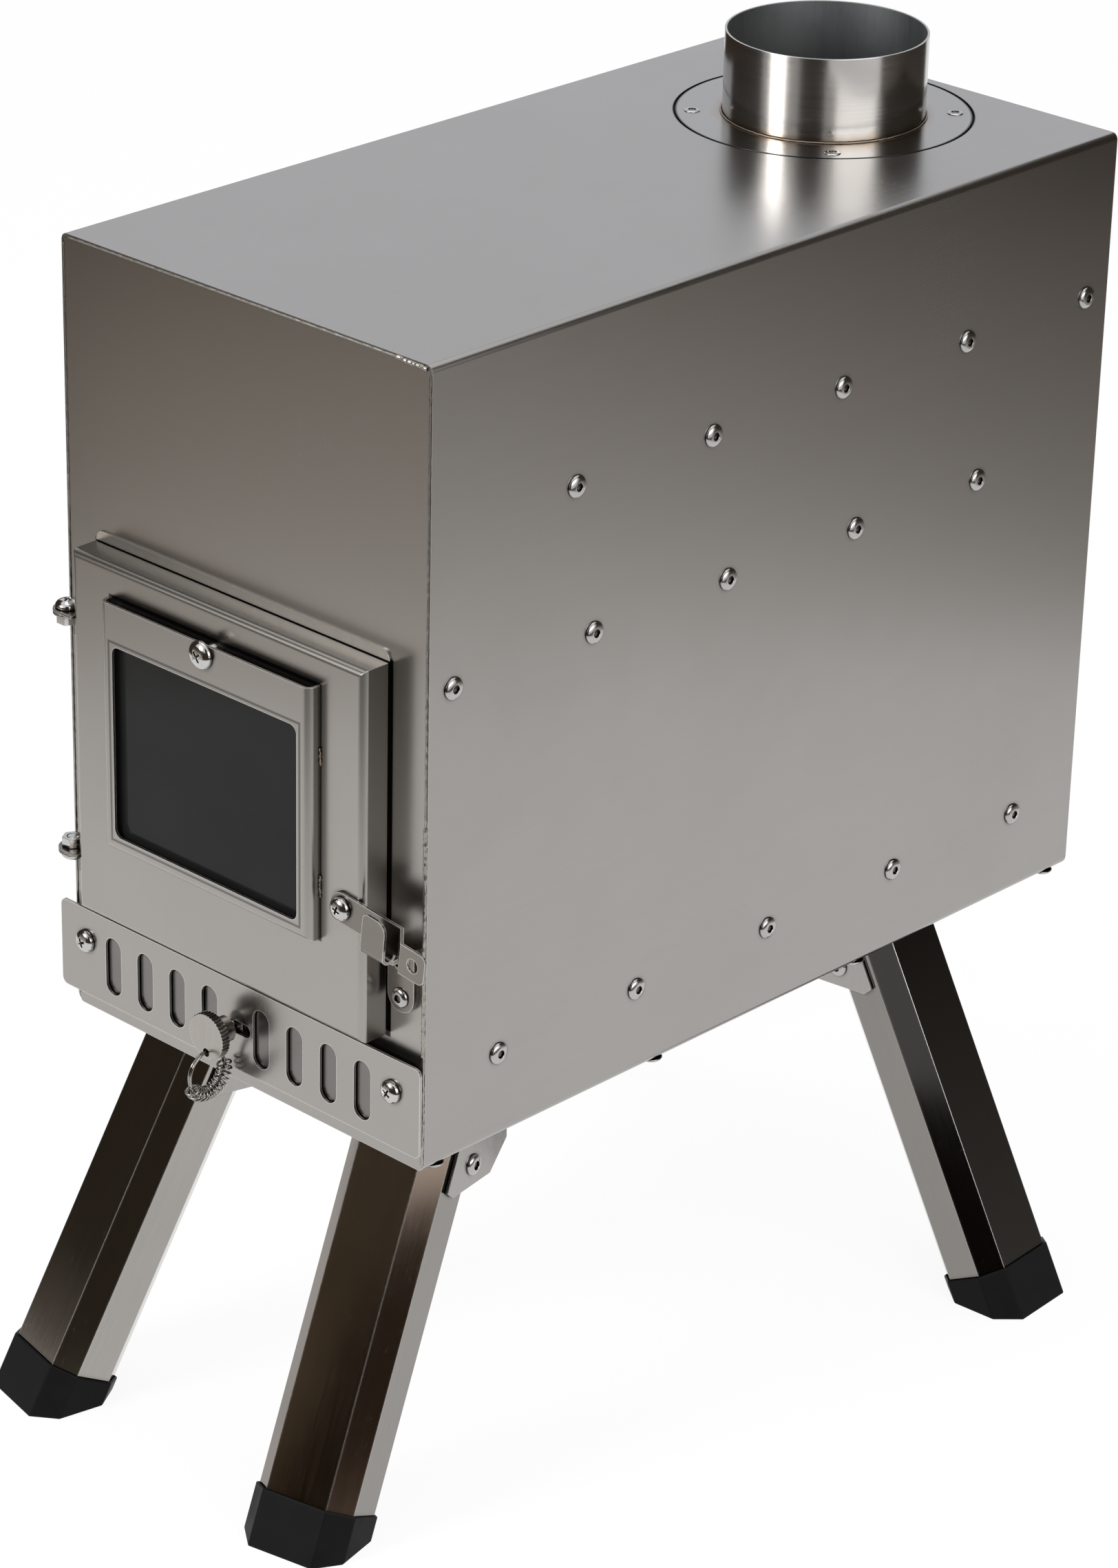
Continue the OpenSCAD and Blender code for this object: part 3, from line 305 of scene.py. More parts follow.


# the edge highlight's colour, the heat tint, the painted shade's colour and its strength in recesses, then
# scratches and bumps
wearAndPaintedLightSet = {
    "edgeHighlightColor": (0.85, 0.84, 0.82),
    "heatColor": (0.30, 0.2, 0.11),
    "paintedShadeColor": (0.012, 0.01, 0.009),
    "hollow": 0.8,
    "scratchRough": 0.25,
    "scratchDepth": 1.5,
    "bumpDistance": 0.02 * mm,
}


def brushedMetal(name, look):
    material, tree, shader = newMaterial(name)
    grain = useGroup(tree, grainGroup, {"Stretch": look["stretch"], "Turn": look["turn"]})
    streaks, clouds = grain.outputs["Streaks"], grain.outputs["Clouds"]
    edge = useGroup(tree, edgeGroup, {"Width": look["edgeWidth"]}).outputs[0]
    tone = mixColor(tree, remap(tree, streaks, *maskSet["streaks"]), (*look["color"], 1), (*look["highColor"], 1))
    tone = tinted(tree, tone, clouds, look["clouds"], look["cloudColor"])
    # painted highlight along the edges
    tone = tinted(tree, tone, edge, look["edgeLight"], wearAndPaintedLightSet["edgeHighlightColor"])
    if "heat" in look:
        tone = tinted(tree, tone, useGroup(tree, heatGroup).outputs[0], look["heat"], wearAndPaintedLightSet["heatColor"])
    # painted shade: the colour darkens toward the painted shade colour near other faces, in marked recesses and
    # along gap and ring lines
    contact = useGroup(tree, contactGroup, {"Reach": look["contactReach"]}).outputs[0]
    hollow = addNode(tree, "ShaderNodeAttribute", attribute_name="hollow").outputs["Fac"]
    dark = darker(tree, mathNode(tree, "MULTIPLY", contact, look["contact"]), hollow, wearAndPaintedLightSet["hollow"])
    for key, group, names in (("gap", gapGroup, ("Middle", "Half", "Width")),
                              ("ring", ringGroup, ("Radius", "Width"))):
        if key in look:
            *values, strength = look[key]
            line = useGroup(tree, group, dict(zip(names, values))).outputs[0]
            dark = darker(tree, dark, line, strength)
    tone = mixColor(tree, dark, tone, (*wearAndPaintedLightSet["paintedShadeColor"], 1))
    rough = remap(tree, streaks, *maskSet["roughStreaks"], *look["rough"])
    rough = added(tree, added(tree, rough, edge, look["edgeRough"]), clouds, look["cloudRough"])
    height = streaks
    if look["scratches"]:
        scratch = useGroup(tree, scratchGroup, {"Amount": look["scratches"]}).outputs[0]
        rough = added(tree, rough, scratch, wearAndPaintedLightSet["scratchRough"])
        height = added(tree, height, scratch, -wearAndPaintedLightSet["scratchDepth"])
    if look["bump"]:
        bump = addNode(tree, "ShaderNodeBump", {"Strength": look["bump"], "Distance": wearAndPaintedLightSet["bumpDistance"],
                                                "Height": height})
        joinTo(tree, shader, Normal=bump.outputs[0])
    metal = look["metal"]
    if look["edgeMatte"]:
        metal = added(tree, metal, edge, -look["edgeMatte"])
    joinTo(tree, shader, Base_Color=tone, Roughness=rough, Metallic=metal)
    return material


# the plain sheet, brushed lengthwise; every other steel says only what differs from it
sheetLook = {
    "stretch": (1.0, 0.012, 1.0),
    "turn": (0, 0, 0),
    "color": (0.358, 0.346, 0.333),
    "highColor": (0.375, 0.363, 0.349),
    "cloudColor": (0.345, 0.330, 0.313),
    "clouds": 0.35,
    "rough": (0.22, 0.245),
    "cloudRough": 0.04,
    "scratches": 0.0,
    "edgeWidth": 0.8 * mm,
    "edgeLight": 0.4,
    "edgeRough": 0.1,
    "edgeMatte": 0.0,
    "metal": 1.0,
    "contact": 0.75,
    "contactReach": 2.0 * mm,
    "bump": 0.0,
}
upright = {"stretch": (1.0, 1.0, 0.012), "color": (0.366, 0.348, 0.328), "highColor": (0.379, 0.361, 0.340)}
plain = {"stretch": (1.0, 1.0, 1.0)}
flangeR = boxOf("flue_flange")[1][0]
# gap: middle, half size, width and strength of a painted shade line along a gap; ring: its radius, width and
# strength of a painted shade line round the flange
steelLooks = {
    "shell": {"contact": 0.97, "ring": (flangeR + 0.3 * mm, 1.2 * mm, 0.97)},
    "sheet": {},
    "upright": upright,
    "frontPanel": {**upright, "contact": 0.4, "contactReach": 1.2 * mm,
                   "gap": (*boxOf("door_panel"), 1.6 * mm, 0.97)},
    "door": {**upright, "gap": (*boxOf("window_frame"), 1.1 * mm, 0.85)},
    "windowFrame": {**upright, "edgeLight": 0.7, "edgeMatte": 0.3,
                    "gap": ((-1.4 * mm, 0, 302.9 * mm), (54.6 * mm, 0, 43.4 * mm), 0.7 * mm, 0.55)},
    "ventPlate": {**upright, "edgeLight": 0.8, "edgeMatte": 0.4},
    # the rim is painted much lighter, a painted highlight, with a painted shade line where it meets the door
    "doorRim": {**upright, "color": (0.66, 0.63, 0.59), "highColor": (0.74, 0.71, 0.67),
                "cloudColor": (0.6, 0.57, 0.53), "contact": 0.3,
                "gap": (*boxOf("door_panel"), 0.7 * mm, 0.97)},
    "doorTop": {"stretch": (0.012, 1.0, 1.0), "color": (0.40, 0.38, 0.355), "highColor": (0.43, 0.41, 0.385),
                "contact": 0.4},
    "inside": {"color": (0.3, 0.29, 0.28), "highColor": (0.36, 0.35, 0.34), "rough": (0.35, 0.5)},
    "flue": {"stretch": (0.02, 0.02, 1.0), "rough": (0.12, 0.2), "color": (0.48, 0.465, 0.45),
             "highColor": (0.53, 0.515, 0.50), "heat": 0.7, "edgeLight": 0.1},
    "flueInside": {"stretch": (1.0, 1.0, 0.05), "rough": (0.5, 0.62), "color": (0.13, 0.14, 0.147),
                   "highColor": (0.18, 0.192, 0.2)},
    "flange": {"rough": (0.14, 0.2), "color": (0.35, 0.343, 0.335), "heat": 0.5,
               "ring": (flangeR - 0.1 * mm, 0.7 * mm, 0.9)},
    "bracket": {"stretch": (1.0, 0.1, 0.1), "rough": (0.16, 0.24), "color": (0.36, 0.35, 0.335),
                "highColor": (0.40, 0.385, 0.37)},
    # the latch parts are painted darker, a painted dark reflection
    "latch": {"stretch": (0.1, 1.0, 1.0), "rough": (0.18, 0.26), "color": (0.21, 0.19, 0.172),
              "highColor": (0.235, 0.215, 0.195), "cloudColor": (0.19, 0.17, 0.15), "edgeLight": 0.8,
              "edgeMatte": 0.4},
    "latchTab": {"stretch": (1.0, 1.0, 0.1), "rough": (0.18, 0.26), "color": (0.34, 0.325, 0.305),
                 "highColor": (0.37, 0.355, 0.335)},
    # the slider behind the vent plate is painted darker, a painted shade
    "slider": {"color": (0.19, 0.183, 0.173), "highColor": (0.22, 0.21, 0.2), "cloudColor": (0.16, 0.152, 0.144)},
    "bright": {**plain, "rough": (0.08, 0.15), "color": (0.55, 0.54, 0.53), "highColor": (0.6, 0.59, 0.58)},
    "rivet": {**plain, "rough": (0.12, 0.2), "color": (0.45, 0.44, 0.43), "highColor": (0.5, 0.49, 0.48)},
    "knob": {"stretch": (1.0, 1.0, 0.05), "rough": (0.14, 0.22), "color": (0.37, 0.345, 0.315),
             "highColor": (0.42, 0.395, 0.365)},
    # the wire is painted darker, a painted dark reflection, with painted shade between the coils
    "wire": {"stretch": (0.3, 0.3, 0.3), "rough": (0.05, 0.1), "color": (0.30, 0.285, 0.265),
             "highColor": (0.36, 0.345, 0.325), "edgeLight": 0.0, "contact": 0.95, "contactReach": 1.2 * mm},
    "weld": {**plain, "rough": (0.2, 0.35), "color": (0.34, 0.315, 0.28), "highColor": (0.42, 0.40, 0.37),
             "bump": 0.4},
    "burntWeld": {**plain, "rough": (0.25, 0.4), "color": (0.17, 0.125, 0.085), "highColor": (0.3, 0.25, 0.19),
                  "bump": 0.4},
    # near black, a painted shadow for the gap round the flue flange
    "gapShadowRing": {**plain, "rough": (0.6, 0.75), "color": (0.02, 0.019, 0.018), "highColor": (0.035, 0.033, 0.03),
                 "cloudColor": (0.015, 0.014, 0.013), "edgeLight": 0.0},
}
steels = {name: brushedMetal(name + "Steel", {**sheetLook, **look}) for name, look in steelLooks.items()}

plasticSet = {
    "color": (0.004, 0.004, 0.005), "highColor": (0.010, 0.010, 0.010), "rough": (0.38, 0.55), "specular": 0.08,
    "edgeWidth": 1.2 * mm, "edgeLight": 0.4, "edgeHighlightColor": (0.05, 0.05, 0.05),
    "patches": {"Scale": 60.0, "Detail": 4.0},
    "grain": {"Scale": 1500.0, "Detail": 3.0}, "bump": 0.3, "bumpDistance": 0.03 * mm,
}


def makePlastic():
    material, tree, shader = newMaterial("blackFootPlastic")
    place = objectPlace(tree)
    patches = noise(tree, place, plasticSet["patches"])
    tone = mixColor(tree, patches, (*plasticSet["color"], 1), (*plasticSet["highColor"], 1))
    edge = useGroup(tree, edgeGroup, {"Width": plasticSet["edgeWidth"]}).outputs[0]
    # painted highlight along the feet's edges
    tone = tinted(tree, tone, edge, plasticSet["edgeLight"], plasticSet["edgeHighlightColor"])
    rough = remap(tree, patches, *maskSet["roughStreaks"], *plasticSet["rough"])
    bump = addNode(tree, "ShaderNodeBump", {"Strength": plasticSet["bump"], "Distance": plasticSet["bumpDistance"],
                                            "Height": noise(tree, place, plasticSet["grain"])})
    joinTo(tree, shader, Base_Color=tone, Roughness=rough, Normal=bump.outputs[0],
           Specular_IOR_Level=plasticSet["specular"])
    return material


glassSet = {
    "color": (0.009, 0.009, 0.009), "filmColor": (0.016, 0.016, 0.0155), "rough": (0.04, 0.12),
    "film": {"Scale": 25.0, "Detail": 5.0}, "ior": 1.45, "specular": 0.13,
}


def makeGlass():
    material, tree, shader = newMaterial("smokedGlass")
    film = noise(tree, objectPlace(tree), glassSet["film"])
    tone = mixColor(tree, film, (*glassSet["color"], 1), (*glassSet["filmColor"], 1))
    rough = remap(tree, film, *maskSet["streaks"], *glassSet["rough"])
    joinTo(tree, shader, Base_Color=tone, Roughness=rough, IOR=glassSet["ior"],
           Specular_IOR_Level=glassSet["specular"])
    return material


footPlastic = makePlastic()
smokedGlass = makeGlass()
# what a frame node wears where no finished piece stands for it
slotMaterials = {
    "brushed_sheet": steels["inside"],
    "flue_steel": steels["flue"],
    "polished_leg_steel": steels["bright"],
    "bracket_steel": steels["bracket"],
    "bright_steel": steels["bright"],
    "black_plastic": footPlastic,
    "smoked_glass": smokedGlass,
}
# the flue ring is painted near black, a painted shadow seen through the gap round the flange
nodeMaterials = {"flue_ring": steels["gapShadowRing"], "back_panel": steels["upright"], "bottom_panel": steels["sheet"]}
for name, node in nodes.items():
    for slotItem in node.material_slots:
        slotItem.material = nodeMaterials.get(name, slotMaterials[slotNames[name]])
print("materials made")

bpy.context.tool_settings.mesh_select_mode = (False, False, True)


def clearSelection():
    if bpy.context.object and bpy.context.object.mode != "OBJECT":
        bpy.ops.object.mode_set(mode="OBJECT")
    bpy.ops.object.select_all(action="DESELECT")


def makeActive(piece):
    clearSelection()
    piece.select_set(True)
    bpy.context.view_layer.objects.active = piece


# Merges a mesh's doubles, turns its faces outwards and, with an angle, joins its flat faces
def mergeClean(piece, angle):
    makeActive(piece)
    bpy.ops.object.mode_set(mode="EDIT")
    bpy.ops.mesh.select_all(action="SELECT")
    bpy.ops.mesh.remove_doubles(threshold=0.005 * mm)
    if angle:
        bpy.ops.mesh.dissolve_limited(angle_limit=math.radians(angle))
    bpy.ops.mesh.normals_make_consistent(inside=False)
    bpy.ops.object.mode_set(mode="OBJECT")


def applyAll(piece):
    makeActive(piece)
    for modifier in list(piece.modifiers):
        bpy.ops.object.modifier_apply(modifier=modifier.name)


def smooth(piece, angle):
    makeActive(piece)
    bpy.ops.object.shade_smooth_by_angle(angle=math.radians(angle))
    weighted = piece.modifiers.new("flatFaces", "WEIGHTED_NORMAL")
    weighted.keep_sharp = True
    weighted.weight = 100
    applyAll(piece)


def bevelEdges(piece, width, segments, angle):
    bevel = piece.modifiers.new("softEdges", "BEVEL")
    bevel.width = width
    bevel.segments = segments
    bevel.limit_method = "ANGLE"
    bevel.angle_limit = math.radians(angle)
    applyAll(piece)


# Marks in object mode what passes a test, all else unmarked, and goes on in edit mode
def markInEdit(piece, parts, mode, chosen):
    makeActive(piece)
    bpy.ops.object.mode_set(mode="EDIT")
    bpy.ops.mesh.select_mode(type=mode)
    bpy.ops.mesh.select_all(action="DESELECT")
    bpy.ops.object.mode_set(mode="OBJECT")
    for part in parts:
        part.select = chosen(part)
    bpy.ops.object.mode_set(mode="EDIT")


# Moves the vertices that pass a test
def moveVertices(piece, offset, chosen):
    markInEdit(piece, piece.data.vertices, "VERT", chosen)
    bpy.ops.transform.translate(value=offset)
    bpy.ops.mesh.select_mode(type="FACE")
    bpy.ops.object.mode_set(mode="OBJECT")


# Gives the faces that pass a test a material of their own
def paintFaces(piece, material, chosen):
    piece.data.materials.append(material)
    for face in piece.data.polygons:
        if chosen(face):
            face.material_index = len(piece.data.materials) - 1


def finish(piece, body, slotName, material, *replaced):
    piece.data.materials.clear()
    piece.data.materials.append(material)
    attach(piece, body)
    if replaced:
        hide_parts(*replaced)


# A copy of a frame node with its sheet edges softened
def softCopy(name, pieceName, material, width, segments=2, angle=30):
    source = nodes[name]
    piece = source.copy()
    piece.data = source.data.copy()
    piece.name = pieceName
    piece.parent = None
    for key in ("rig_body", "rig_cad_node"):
        if key in piece:
            del piece[key]
    bpy.context.scene.collection.objects.link(piece)
    makeActive(piece)
    bpy.ops.mesh.customdata_custom_splitnormals_clear()
    mergeClean(piece, 1.0)
    bevelEdges(piece, width, segments, angle)
    smooth(piece, angle)
    finish(piece, bodyOf[name], slotNames[name], material, name)
    return piece


# A turned piece along Z, extruded ring by ring from its lowest disc; its profile is in millimetres
def turned(name, profile, sides):
    clearSelection()
    radius, height = profile[0]
    bpy.ops.mesh.primitive_circle_add(vertices=sides, radius=radius * mm, fill_type="NGON",
                                      location=(0, 0, height * mm))
    piece = bpy.context.object
    piece.name = name
    bpy.ops.object.transform_apply()
    bpy.ops.object.mode_set(mode="EDIT")
    bpy.ops.mesh.select_all(action="SELECT")
    for nextRadius, nextHeight in profile[1:]:
        rise = (0, 0, (nextHeight - height) * mm)
        bpy.ops.mesh.extrude_region_move(TRANSFORM_OT_translate={"value": rise})
        share = nextRadius / radius
        bpy.ops.transform.resize(value=(share, share, 1), center_override=(0, 0, nextHeight * mm))
        radius, height = nextRadius, nextHeight
    bpy.ops.object.mode_set(mode="OBJECT")
    mergeClean(piece, 0)
    return piece


# Copies a master to each place, each with its own mesh, and joins them into one piece
def copiesOf(master, name, places):
    made = []
    for place in places:
        piece = master.copy()
        piece.data = master.data.copy()
        piece.data.transform(place)
        bpy.context.scene.collection.objects.link(piece)
        made.append(piece)
    clearSelection()
    for piece in made:
        piece.select_set(True)
    bpy.context.view_layer.objects.active = made[0]
    if len(made) > 1:
        bpy.ops.object.join()
    made[0].name = name
    return made[0]


def discard(*masters):
    for master in masters:
        bpy.data.objects.remove(master)


# The transform that lays Z along an axis at a place
def facing(place, axis, turn=0.0):
    quat = Vector(axis).to_track_quat("Z", "Y").to_matrix().to_4x4()
    return Matrix.Translation(Vector(place)) @ quat @ Matrix.Rotation(math.radians(turn), 4, "Z")


# A wire along points, made a mesh
def wire(name, points, radius, sides, cyclic=False):
    curve = bpy.data.curves.new(name, "CURVE")
    curve.dimensions = "3D"
    spline = curve.splines.new("POLY")
    spline.points.add(len(points) - 1)
    for point, place in zip(spline.points, points):
        point.co = (*place, 1)
    spline.use_cyclic_u = cyclic
    curve.bevel_depth = radius
    curve.bevel_resolution = sides // 2 - 1
    curve.use_fill_caps = True
    piece = bpy.data.objects.new(name, curve)
    bpy.context.scene.collection.objects.link(piece)
    makeActive(piece)
    bpy.ops.object.convert(target="MESH")
    piece = bpy.context.object
    mergeClean(piece, 0)
    smooth(piece, 60)
    return piece


def evenly(low, high, count):
    return [low + (high - low) * i / (count - 1) for i in range(count)]


# the studio: a card is given by its start and end round the stove, its low and high edge and its shade;
# a lamp by its place, its target, its two sizes and its power
stageSet = {
    "floorSize": 14.0,
    "floorTones": ((0.84, 0.84, 0.84), (0.88, 0.88, 0.88)),
    "floorSpeckle": {"Scale": 6.0, "Detail": 3.0},
    "floorRough": 0.9,
    "floorGlow": 1.05,
    "floorGlowShare": 0.87,
    "worldColor": (0.55, 0.55, 0.56),
    "cardRadius": 0.85,
    "cardSides": 120,
    "cards": [
        (-100, -38, 0.02, 0.5, "dark"), (-38, 25, 0.02, 0.22, "dark"), (25, 95, 0.02, 0.5, "side"),
        (140, 223, 0.02, 0.5, "dark"), (223, 260, 0.02, 0.5, "front"),
        (-75, -42, 0.5, 1.2, "dark"), (28, 95, 0.5, 1.2, "dark"), (170, 232, 0.5, 1.2, "dark"),
        (95, 170, 0.5, 1.7, "grey"),
    ],
    "sideFade": (0.7, 0.48, 1.0, 0.66),
    "shades": {
        "grey": [(0.0, (0.82, 0.842, 0.885)), (1.0, (0.82, 0.842, 0.885))],
        "dark": [(0.0, (0.5, 0.45, 0.4)), (0.05, (0.12, 0.1, 0.08)), (0.09, (0.045, 0.034, 0.024))],
        "side": [(0.0, (0.78, 0.75, 0.72)), (0.07, (0.61, 0.575, 0.545)), (0.14, (0.47, 0.435, 0.40)),
                 (0.23, (0.29, 0.26, 0.23)), (0.32, (0.08, 0.067, 0.056))],
        "front": [(0.0, (0.75, 0.72, 0.69)), (0.1, (0.5, 0.46, 0.42)), (0.22, (0.36, 0.32, 0.28)),
                  (0.32, (0.1, 0.08, 0.06)), (0.4, (0.04, 0.03, 0.02))],
    },
    "lamps": {
        "topLamp": ((-0.2, 0.3, 2.4), (0, 0, 0.2), (1.4, 1.4), 9),
        "frontSoftbox": ((-0.41, -1.55, 1.0), (0, 0.1, 0.5), (0.5, 0.8), 14),
        "rightSoftbox": ((1.59, -0.2, 0.95), (0, 0.1, 0.5), (1.4, 0.7), 9),
    },
}


# 1 for the rays that show the background: straight to the camera, in a mirror or through glass
def seenDirectly(tree):
    light = addNode(tree, "ShaderNodeLightPath").outputs
    return mathNode(tree, "MAXIMUM", light["Is Camera Ray"],
                    mathNode(tree, "MAXIMUM", light["Is Glossy Ray"], light["Is Transmission Ray"]))


# The floor shows near white and keeps the shadow, and is clear from below
def makeFloorMaterial():
    material, tree, shader = newMaterial("paleFloor")
    speckle = noise(tree, objectPlace(tree), stageSet["floorSpeckle"])
    tone = mixColor(tree, speckle, *((*color, 1) for color in stageSet["floorTones"]))
    joinTo(tree, shader, Base_Color=tone, Roughness=stageSet["floorRough"])
    glow = addNode(tree, "ShaderNodeEmission", {"Color": (1, 1, 1, 1), "Strength": stageSet["floorGlow"]})
    share = mathNode(tree, "MULTIPLY", seenDirectly(tree), stageSet["floorGlowShare"])
    mix = addNode(tree, "ShaderNodeMixShader", {0: share, 1: shader.outputs[0], 2: glow.outputs[0]})
    under = addNode(tree, "ShaderNodeNewGeometry").outputs["Backfacing"]
    clear = addNode(tree, "ShaderNodeBsdfTransparent")
    sided = addNode(tree, "ShaderNodeMixShader", {0: under, 1: mix.outputs[0], 2: clear.outputs[0]})
    tree.links.new(sided.outputs[0], tree.nodes["Material Output"].inputs["Surface"])
    return material


def makeCardMaterial(name, shades):
    material, tree, shader = newMaterial(name + "Card")
    tree.nodes.remove(shader)
    place = objectPlace(tree)
    ramp = addNode(tree, "ShaderNodeValToRGB", {0: axisOf(tree, place, "Z")})
    while len(ramp.color_ramp.elements) < len(shades):
        ramp.color_ramp.elements.new(0.5)
    for element, (position, color) in zip(ramp.color_ramp.elements, shades):
        element.position = position
        element.color = (*color, 1)
    color = ramp.outputs[0]
    if name == "side":
        fade = remap(tree, axisOf(tree, place, "X"), *stageSet["sideFade"])
        color = addNode(tree, "ShaderNodeVectorMath", {0: color, "Scale": fade}, operation="SCALE").outputs[0]
    glow = addNode(tree, "ShaderNodeEmission", {"Color": color, "Strength": 1.0})
    tree.links.new(glow.outputs[0], tree.nodes["Material Output"].inputs["Surface"])
    return material


clearSelection()
bpy.ops.mesh.primitive_plane_add(size=stageSet["floorSize"])
floor = bpy.context.object
floor.name = "floor"
floor.data.materials.append(makeFloorMaterial())

world = bpy.data.worlds.new("studioWorld")
bpy.context.scene.world = world
world.use_nodes = True
worldTree = world.node_tree
worldColor = mixColor(worldTree, seenDirectly(worldTree), (*stageSet["worldColor"], 1), (1, 1, 1, 1))
worldTree.links.new(worldColor, worldTree.nodes["Background"].inputs["Color"])
cardMaterials = {name: makeCardMaterial(name, shades) for name, shades in stageSet["shades"].items()}


# A card stands round the stove and shows in its metal, as a studio's dark cloth does
def darkCard(name, start, end, low, high, shade):
    clearSelection()
    bpy.ops.mesh.primitive_cylinder_add(vertices=stageSet["cardSides"], radius=stageSet["cardRadius"],
                                        depth=high - low, end_fill_type="NOTHING",
                                        location=(0, 0, (low + high) / 2))
    card = bpy.context.object
    card.name = name
    bpy.ops.object.transform_apply()

    def outsideTheCard(face):
        turn = math.degrees(math.atan2(face.center.y, face.center.x))
        return not any(start <= turn + full <= end for full in (0, 360))

    markInEdit(card, card.data.polygons, "FACE", outsideTheCard)
    bpy.ops.mesh.delete(type="FACE")
    bpy.ops.object.mode_set(mode="OBJECT")
    card.visible_camera = False
    card.visible_shadow = False
    card.visible_diffuse = False
    card.data.materials.append(cardMaterials[shade])


for i, card in enumerate(stageSet["cards"]):
    darkCard(f"darkCard{i}", *card)
for name, (place, target, (width, height), power) in stageSet["lamps"].items():
    bpy.ops.object.light_add(type="AREA", location=place)
    lamp = bpy.context.object
    lamp.name = name
    lamp.data.shape = "RECTANGLE"
    lamp.data.size, lamp.data.size_y = width, height
    lamp.data.energy = power
    lamp.rotation_euler = (Vector(target) - Vector(place)).to_track_quat("-Z", "Y").to_euler()
bpy.context.scene.view_settings.view_transform = "Standard"
print("stage and lamps set")

# the sheet parts: frame node, piece, material and the width of its softened edges in millimetres
sheetParts = [
    ("outer_shell", "bodyShell", "shell", 0.25), ("front_panel", "frontPlate", "frontPanel", 0.2),
    ("door_panel", "doorPan", "door", 0.3), ("window_frame", "windowFrame", "windowFrame", 0.3),
    ("vent_plate", "ventPlate", "ventPlate", 0.3), ("air_slider", "airSlider", "slider", 0.2),
    ("latch_strap", "latchStrap", "latch", 0.35), ("latch_keeper", "latchKeeper", "latch", 0.5),
    ("upper_body_ear", "upperBodyEar", "latch", 0.3), ("lower_body_ear", "lowerBodyEar", "latch", 0.3),
    ("upper_door_ear", "upperDoorEar", "latch", 0.3), ("lower_door_ear", "lowerDoorEar", "latch", 0.3),
    ("hinge_nuts", "hingeNuts", "bright", 0.35), ("vent_nuts", "ventNuts", "bright", 0.35),
    ("latch_nut", "latchNut", "bright", 0.35), ("window_nut", "windowNut", "bright", 0.35),
    ("window_glass", "windowGlass", "glass", 0.4), ("flue_collar", "flueCollar", "flue", 0.25),
    ("flue_flange", "flueFlange", "flange", 0.2),
]
sheetMaterials = {**steels, "glass": smokedGlass}
sheets = {pieceName: softCopy(name, pieceName, sheetMaterials[material], width * mm)
          for name, pieceName, material, width in sheetParts}
# the collar's inner wall is darker and duller than its brushed outside
flueAxis = bodyPlace(0, flueY, 0)
paintFaces(sheets["flueCollar"], steels["flueInside"],
           lambda face: (flueAxis - face.center).xy.dot(face.normal.xy) > 0.02)
# the door's top wall is brushed lengthwise and painted a shade lighter, a painted highlight on the lit top
paintFaces(sheets["doorPan"], steels["doorTop"], lambda face: face.normal.z > 0.5)
# the strap's finger tab is painted lighter than the strap, a painted highlight, as it stands in front of the strap
# and catches more light
tabSet = {"front": -190 * mm, "right": 93 * mm}
paintFaces(sheets["latchStrap"], steels["latchTab"],
           lambda face: face.center.y < tabSet["front"] and face.center.x < tabSet["right"])
# the rim round the door's opening is painted lighter than the panel, a painted highlight, and stands taller above
# the door
rimSet = {"front": -169.5 * mm, "back": -168.9 * mm, "halfW": 90 * mm, "below": 1.6 * mm, "above": 3.2 * mm,
          "taller": 2.2 * mm}
doorMiddle, doorHalf = boxOf("door_panel")
doorTop = doorMiddle[2] + doorHalf[2]
paintFaces(sheets["frontPlate"], steels["doorRim"], lambda face: face.center.y < rimSet["front"])


def inTopRim(vertex):
    x, y, z = vertex.co
    inHeight = doorTop - rimSet["below"] < z < doorTop + rimSet["above"]
    return inHeight and y < rimSet["back"] and abs(x) < rimSet["halfW"]


moveVertices(sheets["frontPlate"], (0, 0, rimSet["taller"]), inTopRim)
print("sheet parts softened")

legLook = {
    **sheetLook,
    "stretch": (1.0, 1.0, 0.03),
    "rough": (0.06, 0.1),
    "color": (0.165, 0.158, 0.148),
    "highColor": (0.18, 0.172, 0.162),
    "cloudColor": (0.15, 0.14, 0.13),
    "clouds": 0.2,
    "scratches": 0.35,
    "edgeWidth": 1.2 * mm,
    "edgeLight": 0.9,
    "edgeRough": 0.3,
    "edgeMatte": 0.6,
    "bump": 0.04,
}


# The legs' colours in a lighter, darker or warmer shade, painted light and shade that stand in for each leg's
# reflections
def paintedLegLight(*shades):
    return {key: tuple(shade * value for shade, value in zip(shades, legLook[key]))
            for key in ("color", "highColor", "cloudColor")}


